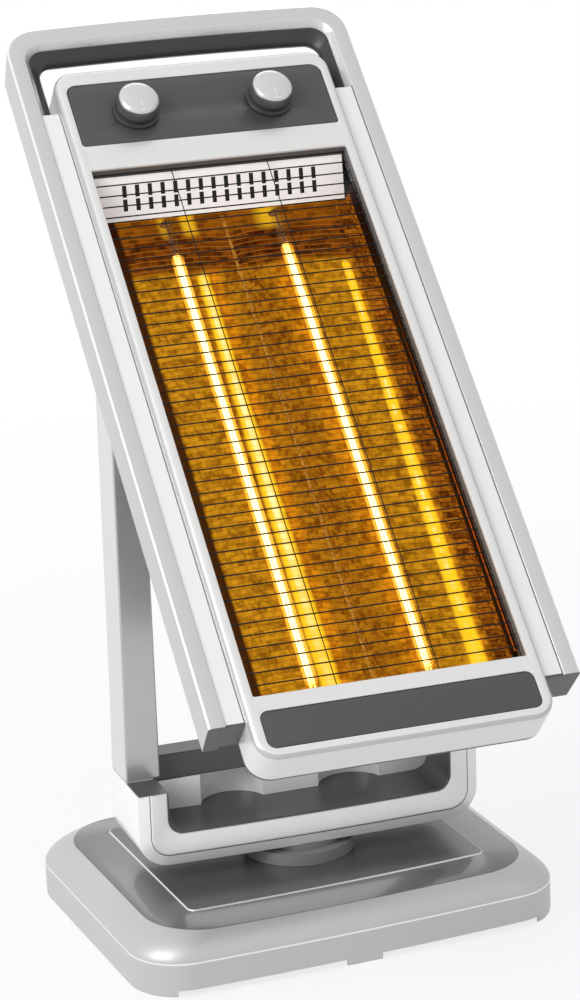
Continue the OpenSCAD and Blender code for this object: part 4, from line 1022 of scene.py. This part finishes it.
class HEATER_OT_frame(HeaterOperator, bpy.types.Operator):
    """Head frame with its handle bar, dark handle lining, filler strips and rail ends in painted
    shade
    """
    bl_idname = "heater.frame"
    bl_label = "Head frame"

    def execute(self, context):
        body = Form()
        outer = [(-35.5, 0.7), (-34.9, 0.1), (-26.0, 0.0), (-14.0, 0.0), (-3.0, 0.0), (-1.7, 0.2),
                 (-0.7, 0.8), (-0.15, 1.7), (0.0, 2.6)]
        rows = [body.row(flat_head(p, n) for p in frame_line(n, k)) for n, k in outer]
        inner = [(0.0, 5.3), (-0.25, 4.7), (-0.8, 4.1), (-5.7, 0.4), (-6.3, 0.1), (-7.2, 0.0),
                 (-12.0, 0.0), (-35.0, 3.8), (-35.5, 4.3)]
        rows += [body.row(flat_head(p, n) for p in opening_line(k, FRAME_LOW)) for n, k in inner]
        # Slots by band: the side faces take painted shade, the rounded front edge and the inner lip
        # take painted highlights, and the rail ends take painted shade in dark grey
        body.ribbon(rows, [0, 4, 4, 4, 4, 3, 3, 0, 0, 1, 1, 1, 0, 0, 0, 0, 0, 0], cap=2)
        obj = body.piece("head_frame_dressed", "head",
                         ["frame paint", "frame lip paint", "dark lining", "crease highlight",
                          "frame side paint"],
                         "silver_bar", replaces=["outer_frame", "frame_back"])
        cut(obj, box(head(-STRIP_W, FRAME_LOW - 20, 5), head(STRIP_W, STRIP_TOP, FRAME_BACK - 5)))

        lining = Form()
        # Depth, share of the swelling that the fingers close round, and outset
        grip = [(-6.4, 0.0, -0.1), (-6.6, 0.0, -0.9), (-8.0, 0.22, -0.5), (-9.5, 0.46, -0.2),
                (-11.0, 0.66, 0.0), (-12.5, 0.82, 0.0), (-14.0, 0.92, 0.0), (-16.0, 0.99, 0.0),
                (-18.0, 0.94, 0.0), (-20.0, 0.83, 0.1), (-23.0, 0.62, 0.7), (-26.0, 0.40, 1.3),
                (-29.0, 0.18, 1.9), (-31.0, 0.05, 2.3), (-31.0, 0.0, 3.0), (-12.0, 0.0, -0.1)]
        lining.ribbon([lining.row(flat_head(p, n) for p in opening_line(k, STRIP_TOP + 0.2, s))
                       for n, s, k in grip])
        lining.dress("handle_lining", "head", ["handle dark"], "dark_lining")

        for side, name in ((-1, "left"), (1, "right")):
            strip = box(head(side * (BEZEL_W + 0.7), FRAME_LOW + 2.2, -2.0),
                        head(side * (STRIP_W - 0.5), STRIP_TOP, BEZEL_BACK))
            strip.dress(f"{name}_side_strip", "head", ["strip paint"], "pale_silver", bevel=0.4,
                        segments=2)
        return {"FINISHED"}


class HEATER_OT_bezel(HeaterOperator, bpy.types.Operator):
    """Front bezel with its rolled rim, window return, control strip and lower strip"""
    bl_idname = "heater.bezel"
    bl_label = "Bezel"

    def execute(self, context):
        bezel = Form()
        rim = [(0.5, BEZEL_BACK), (0, BEZEL_BACK + 0.6), (0, -1.8), (0.15, -0.2), (0.6, 1.3),
               (1.4, 2.5), (2.5, 3.35), (3.9, 3.85), (5.4, BEZEL_FACE)]
        rows = bezel.rings(bezel_ring, rim)
        # The rounded outer edge of the rim takes a darker copy of the bezel paint, as painted shade
        bezel.skin(rows, slot=[0, 0, 0, 2, 2, 2, 0, 0])
        floor_n, window_n = 1.6, -9.4
        seat = [(0.7, 0), (0.2, 0.2), (0, 0.7)]
        lip = [(1.4, 0), (0.6, 0.3), (0.1, 1.0), (0, 2.0)]
        holes, floors = [], []
        # The walls of the window and of the two recesses are dark grey, as painted shade
        for ring, edge, walls in (
                (control_ring, seat, [(0, floor_n)]), (trim_ring, seat, [(0, floor_n)]),
                (window_ring, lip, [(0, window_n), (2.0, window_n), (2.0, floor_n)])):
            sides = bezel.rings(ring, [(k, BEZEL_FACE - drop) for k, drop in edge] + walls)
            bezel.skin(sides, slot=[0] * (len(edge) - 1) + [1] * len(walls))
            holes.append(sides[0])
            floors.append(sides[-1])
        bezel.pierced(rows[-1], holes)
        inner = bezel.rings(bezel_ring, [(2.4, BEZEL_BACK), (2.4, -1.9), (5.4, floor_n)])
        bezel.skin([rows[0]] + inner)
        bezel.pierced(inner[-1], floors)
        bezel.dress("front_bezel", "head", ["bezel paint", "return wall grey", "bezel rim paint"],
                    "pale_silver")

        shaft_hole = [lambda k, s=s: circle(s * KNOB_X, KNOB_Z, 5.2 + k) for s in (-1, 1)]
        control = Form()
        levels = [(0.9, 3.45), (0.6, 3.3), (0.5, 2.9), (0.5, -0.4)]
        control.plate(control_ring, shaft_hole, levels)
        control.dress("control_panel", "head", ["dark panel gloss"], "dark_panel")

        lower = Form()
        lower.plate(trim_ring, [], levels)
        lower.piece("lower_trim_dressed", "head", ["dark panel gloss"], "dark_panel",
                    replaces=["lower_trim_panel"])

        ticks = Form()
        for s, angles in ((-1, (120, 15)), (1, (200, 20))):
            for a in angles:
                c, d = math.cos(math.radians(a)), math.sin(math.radians(a))
                mark = [(s * KNOB_X + r * c - w * d, KNOB_Z + r * d + w * c)
                        for r, w in rectangle(22.6, 25.4, -0.35, 0.35)(0)]
                ticks.solid(ticks.rings(lambda k: mark, [(0, 3.40), (0, 3.52)]))
        ticks.piece("dial_ticks", "head", ["tick ink"], "dark_panel")
        return {"FINISHED"}


class HEATER_OT_knobs(HeaterOperator, bpy.types.Operator):
    """Turning knobs with a domed face and a pointer"""
    bl_idname = "heater.knobs"
    bl_label = "Knobs"

    def execute(self, context):
        for s, name in ((-1, "power"), (1, "timer")):
            def at(a, b, h, s=s):
                return head(s * KNOB_X + a, KNOB_Z + b, KNOB_N + h)
            side = Form()
            side.lathe(at, [(3.0, 0.0), (19.3, 0.0), (19.5, 0.3), (19.5, 1.2), (19.1, 1.6),
                            (17.9, 1.8), (17.5, 2.4), (17.35, 6.5), (17.1, 13.6), (16.9, 14.4),
                            (16.4, 14.9), (15.6, 15.0), (3.0, 15.0), (3.0, 0.0)],
                       slot=[1] * 7 + [0] * 6)
            side.dress(f"{name}_knob", f"{name}_knob_body", ["knob side", "knob foot"], "knob_grey")
            cap = Form()
            dome = [(15.7 * math.cos(a), 15.6 + 3.6 * math.sin(a))
                    for a in map(math.radians, range(0, 90, 10))]
            cap.lathe(at, [(0, 15.0), (16.0, 15.0), (16.2, 15.3)] + dome + [(0, 19.2)])
            pointer = ((-1.1, -14.6, 17.3), (1.1, -14.6, 17.3),
                       (0.8, -5.5, 19.4), (-0.8, -5.5, 19.4))
            cap.solid([cap.row(at(x, z, 15.6) for x, z, _ in pointer),
                       cap.row(at(*corner) for corner in pointer)], 1)
            cap.dress(f"{name}_knob_cap", f"{name}_knob_body", ["knob face", "pale silver paint"],
                      "knob_face")
        return {"FINISHED"}


class HEATER_OT_lamps(HeaterOperator, bpy.types.Operator):
    """Quartz tubes with their glowing coils and ceramic ends"""
    bl_idname = "heater.lamps"
    bl_label = "Lamps"

    def execute(self, context):
        turns, per_turn = context.scene.heater_sizes.coil_turns, 10
        tubes, coils, ends, haze = Form(), Form(), Form(), Form()
        y = FACE_Y - LAMP_N
        for x in (-LAMP_X, LAMP_X):
            def at(a, b, h, x=x):
                return (x + a, y + b, h)
            low, high = REFLECTOR_LOW - 9, REFLECTOR_TOP + 9
            tubes.lathe(at, [(4.5, low), (5.5, low), (5.5, high), (4.5, high), (4.5, low)], n=32)
            haze.lathe(at, [(0, COIL_LOW - 2), (3.2, COIL_LOW), (4.9, COIL_LOW + 4),
                            (4.9, COIL_TOP - 4), (3.2, COIL_TOP), (0, COIL_TOP + 2)], n=20)
            turn = circle(x, y, 2.1, per_turn)
            coils.tube([(*turn[i % per_turn], z) for i, z in
                        enumerate(even(COIL_LOW, COIL_TOP, turns * per_turn))], 0.8, sides=5)
            for z0, z1 in ((COIL_TOP, high + 6), (low - 6, COIL_LOW)):
                coils.tube([(x, y, z0), (x, y, z1)], 0.7, slot=1)
            for z, s in ((REFLECTOR_TOP + 2, 1), (REFLECTOR_LOW - 2, -1)):
                ends.lathe(at, [(r, z + s * h) for r, h in
                                ((5.55, 0), (6.3, 0), (6.5, 0.5), (6.5, 21), (6.0, 21.8),
                                 (1.0, 21.8), (1.0, 12), (5.55, 12), (5.55, 0))], n=32)
        tubes.dress("quartz_tubes", "head", ["quartz"], "quartz")
        coils.piece("lamp_coils_dressed", "head", ["glowing coil", "lamp lead"], "filament",
                    replaces=["lamp_filaments"], smooth=80)
        haze.piece("lamp_haze", "head", ["glowing haze"], "filament", smooth=80)
        ends.piece("lamp_ends_dressed", "head", ["ceramic"], "white_ceramic",
                   replaces=["lamp_end_caps"], smooth=40)
        return {"FINISHED"}


class HEATER_OT_reflectors(HeaterOperator, bpy.types.Operator):
    """Gold reflector troughs, their end plates, the side walls and the slotted air plate"""
    bl_idname = "heater.reflectors"
    bl_label = "Reflectors"

    def execute(self, context):
        radius = (REFLECTOR_W ** 2 + TROUGH_D ** 2) / (2 * TROUGH_D)
        spread = math.degrees(math.asin(REFLECTOR_W / radius))
        for side, name in ((-1, "left"), (1, "right")):
            sheet = Form()
            front, back = ([sheet.row(head(x, v, n) for x, n in curve)
                            for v in even(REFLECTOR_LOW, REFLECTOR_TOP, 60)]
                           for curve in (arc(side * REFLECTOR_X, REFLECTOR_N - TROUGH_D + radius, r,
                                             -90 - spread, -90 + spread, 36)
                                         for r in (radius, radius + SHEET)))
            sheet.skin(front, closed=False)
            sheet.skin(back, closed=False, slot=1)
            for end in (0, -1):
                sheet.skin([front[end], back[end]], closed=False)
                sheet.skin([[r[end] for r in front], [r[end] for r in back]], closed=False)
            sheet.dress(f"{name}_reflector", "head", ["gold reflector", "stainless sheet"],
                        "reflector_sheet", smooth=50)
        for z0, name in ((REFLECTOR_TOP, "upper"), (REFLECTOR_LOW - 1, "lower")):
            end = Form()
            holes = [lambda k, x=x: circle(x, LAMP_N, 6.0 + k) for x in (-LAMP_X, LAMP_X)]
            end.plate(rectangle(-101.8, 101.8, -64.8, -30.5), holes, [(0, z0), (0, z0 + 1)],
                      lambda p, z: head(p[0], z, p[1]))
            end.dress(f"{name}_end_plate", "head", ["gold reflector"], "reflector_sheet", smooth=50)
        joint = Form()
        plan = [(-1.4, -34.6), (-1.0, -33.9), (-0.3, -33.5), (0.3, -33.5), (1.0, -33.9),
                (1.4, -34.6)]
        joint.solid([joint.row(head(x, v, n) for x, n in plan)
                     for v in even(REFLECTOR_LOW, REFLECTOR_TOP, 20)])
        joint.piece("trough_joint", "head", ["gold joint"], "reflector_sheet", smooth=60)
        walls = Form()
        plan = [(107.0, -7.4), (108.0, -7.4), (108.0, -30.7), (100.0, -30.7), (100.0, -33.9),
                (99.0, -33.9), (99.0, -29.7), (107.0, -29.7)]
        for s in (-1, 1):
            walls.solid([walls.row(head(s * x, v, n) for x, n in plan)
                         for v in (REFLECTOR_LOW, 0.0, REFLECTOR_TOP)])
        walls.dress("side_baffles", "head", ["gold wall"], "heat_sheet")
        self.air_plate()
        return {"FINISHED"}

    def air_plate(self):
        low_n, high_n, low_z, high_z = -29.5, -6.0, 187.5, 215.1
        length = math.hypot(high_n - low_n, high_z - low_z)
        turn = math.atan2(high_z - low_z, high_n - low_n)
        w = WINDOW_W - 2.3
        columns, pitch, slot_half, slot_height = 16, 10.85, 2.0, 9.8
        middles = [pitch * (i - (columns - 1) / 2) for i in range(columns)]
        holes = [rectangle(x - slot_half, x + slot_half, z, z + slot_height)
                 for x in middles for z in (7.6, 18.8)]

        def at(p, depth):
            n = low_n + p[1] * math.cos(turn) - depth * math.sin(turn)
            v = low_z + p[1] * math.sin(turn) + depth * math.cos(turn)
            return head(p[0], v, n)
        plate = Form()
        plate.plate(rectangle(-w, w, 0, length), holes, [(0.0, 0.0), (0.0, 0.6), (0.0, 1.2)], at)
        plate.dress("air_plate", "head", ["air sheet"], "air_sheet")
        # A black sheet behind the slots, as painted shade seen through them
        shade = Form()
        shade.plate(rectangle(3 - w, w - 3, 4, length - 3), [], [(0.0, 5.0), (0.0, 5.6)], at)
        shade.piece("air_duct_shade", "head", ["black moulding"], "black_plastic")


class HEATER_OT_guard(HeaterOperator, bpy.types.Operator):
    """Guard of level wires welded to upright wires and a rim"""
    bl_idname = "heater.guard"
    bl_label = "Wire guard"

    def execute(self, context):
        sizes = context.scene.heater_sizes
        r = sizes.wire_d / MM / 2
        w, low, top = WINDOW_W - 1.3, WINDOW_LOW + 1.3, WINDOW_TOP - 1.3
        guard = Form()
        for v in even(low, top, sizes.wire_rows):
            guard.tube([head(x, v, GUARD_N) for x in even(-w, w, 4)], r)
        for x in (-w, -UPRIGHT_X, UPRIGHT_X, w):
            guard.tube([head(x, v, GUARD_N - 1.4 * r) for v in (low - r, 0, top + r)], 0.75 * r)
        guard.dress("wire_guard", "head", ["guard wire"], "chrome_wire", smooth=80)
        return {"FINISHED"}


class HEATER_OT_rear(HeaterOperator, bpy.types.Operator):
    """Rear housing with rounded edges and its louvred grille"""
    bl_idname = "heater.rear"
    bl_label = "Rear housing"

    def execute(self, context):
        def ring(k):
            return outline(HOUSING_W - k, HOUSING_LOW + k, HOUSING_TOP - k, max(6 - k * 0.2, 3),
                           20 - min(k, 10))
        tub = Form()
        thick, deep = 2.2, 16
        rows = tub.rings(bezel_ring, [(0.3, BEZEL_BACK), (0.3, -33.0)])
        profile = [(0, -33.0), (0, HOUSING_N + deep)]
        profile += [(14 * (1 - math.cos(a)), HOUSING_N + deep * (1 - math.sin(a)))
                    for a in map(math.radians, even(0, 90, 8)[1:])]
        rows += tub.rings(ring, profile)
        tub.skin(rows)
        hole = tub.rings(grille_ring, [(0, HOUSING_N), (0, HOUSING_N + thick)])
        tub.skin(hole)
        inner = tub.rings(ring, [(14, HOUSING_N + thick), (thick, HOUSING_N + deep),
                                 (thick, BEZEL_BACK)])
        tub.skin(inner + [rows[0]])
        tub.pierced(rows[-1], [hole[0]])
        tub.pierced(inner[0], [hole[1]])
        tub.dress("rear_housing", "head", ["dark lining"], "dark_lining")
        step = box(head(-100, -294, -33.0), head(100, HOUSING_LOW + 3, -47.5))
        step.piece("housing_step", "head", ["dark lining"], "dark_lining", bevel=3.0, segments=4)

        grille = Form()
        first, last = GRILLE_LOW + LOUVRE_PITCH, GRILLE_TOP - LOUVRE_PITCH
        louvres = [lambda k, v=v: outline(63 + k, v - 2 - k, v + 2 + k, 1.9, 1.9, n=5, m=2)
                   for v in range(first, last + 1, LOUVRE_PITCH)]
        grille.plate(lambda k: grille_ring(k - 0.3), louvres,
                     [(0.5, HOUSING_N), (0.0, HOUSING_N + 0.5), (0.0, HOUSING_N + 2.0)])
        grille.dress("rear_grille", "head", ["black moulding"], "black_plastic")
        return {"FINISHED"}


class HEATER_OT_finishes(HeaterOperator, bpy.types.Operator):
    """Finishes of the parts that are shown as the solids have them"""
    bl_idname = "heater.finishes"
    bl_label = "Finishes of the solid parts"

    def execute(self, context):
        for name, nodes in BARE_NODES.items():
            for node in nodes:
                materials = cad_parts[node].data.materials
                materials.clear()
                materials.append(finish(name))
        return {"FINISHED"}


class HEATER_OT_stage(HeaterOperator, bpy.types.Operator):
    """Pale floor, soft studio light and the camera"""
    bl_idname = "heater.stage"
    bl_label = "Stage"

    def execute(self, context):
        scene = context.scene
        mesh = bpy.data.meshes.new("floor")
        s = FLOOR_HALF
        mesh.from_pydata([(-s, -s, 0), (s, -s, 0), (s, s, 0), (-s, s, 0)], [], [(0, 1, 2, 3)])
        mesh.materials.append(finish("floor"))
        floor = bpy.data.objects.new("floor", mesh)
        scene.collection.objects.link(floor)

        world = bpy.data.worlds.new("studio")
        scene.world = world
        sky = Nodes(world)
        soft, white = (sky.node("ShaderNodeBackground", {}, {"Color": (1.0, 1.0, 1.0),
                                                             "Strength": strength})
                       for strength in (WORLD_LIGHT, 1.0))
        sky.blend("World Output", sky.seen(), soft, white)

        for name, at, size, power in LIGHTS:
            light = bpy.data.lights.new(name, "AREA")
            light.energy = power
            light.size = size
            lamp = bpy.data.objects.new(name, light)
            lamp.location = at
            aim = Vector(LIGHTS_AIM) - Vector(at)
            lamp.rotation_euler = aim.to_track_quat("-Z", "Y").to_euler()
            scene.collection.objects.link(lamp)

        pan, pitch, roll = map(math.radians, (CAMERA_PAN, CAMERA_PITCH, CAMERA_ROLL))
        ahead = Vector((-math.sin(pan) * math.cos(pitch), math.cos(pan) * math.cos(pitch),
                        math.sin(pitch)))
        right = ahead.cross(Vector((0, 0, 1))).normalized()
        up = right.cross(ahead)
        side = right * math.cos(roll) + up * math.sin(roll)
        top = up * math.cos(roll) - right * math.sin(roll)
        lens = bpy.data.cameras.new("camera")
        lens.sensor_width = SENSOR
        lens.lens = FOCAL_LENGTH
        lens.clip_start, lens.clip_end = 0.1, 50.0
        camera = bpy.data.objects.new("camera", lens)
        turn = Matrix((side, top, -ahead)).transposed().to_4x4()
        camera.matrix_world = Matrix.Translation(Vector(CAMERA_AT) * MM) @ turn
        scene.collection.objects.link(camera)
        scene.camera = camera
        scene.view_settings.view_transform = "Standard"
        return {"FINISHED"}


STEPS = (HEATER_OT_stage, HEATER_OT_base, HEATER_OT_stand, HEATER_OT_frame, HEATER_OT_bezel,
         HEATER_OT_knobs, HEATER_OT_lamps, HEATER_OT_reflectors, HEATER_OT_guard, HEATER_OT_rear,
         HEATER_OT_finishes)


class HEATER_PT_panel(bpy.types.Panel):
    """Panel that lists the building steps"""
    bl_idname = "HEATER_PT_panel"
    bl_label = "Halogen heater"
    bl_space_type = "VIEW_3D"
    bl_region_type = "UI"
    bl_category = "Heater"

    def draw(self, context):
        layout = self.layout
        for group in (context.scene.heater_sizes, context.scene.heater_finish):
            for key in group.bl_rna.properties.keys():
                if key not in ("rna_type", "name"):
                    layout.prop(group, key)
        for step in STEPS:
            layout.operator(step.bl_idname)


CLASSES = (HeaterSizes, HeaterFinish, *STEPS, HEATER_PT_panel)


def register():
    for cls in CLASSES:
        bpy.utils.register_class(cls)
    bpy.types.Scene.heater_sizes = PointerProperty(type=HeaterSizes)
    bpy.types.Scene.heater_finish = PointerProperty(type=HeaterFinish)


def unregister():
    del bpy.types.Scene.heater_finish
    del bpy.types.Scene.heater_sizes
    for cls in reversed(CLASSES):
        bpy.utils.unregister_class(cls)


def main():
    register()
    for step in STEPS:
        group, name = step.bl_idname.split(".")
        getattr(getattr(bpy.ops, group), name)()


if __name__ == "__main__":
    main()
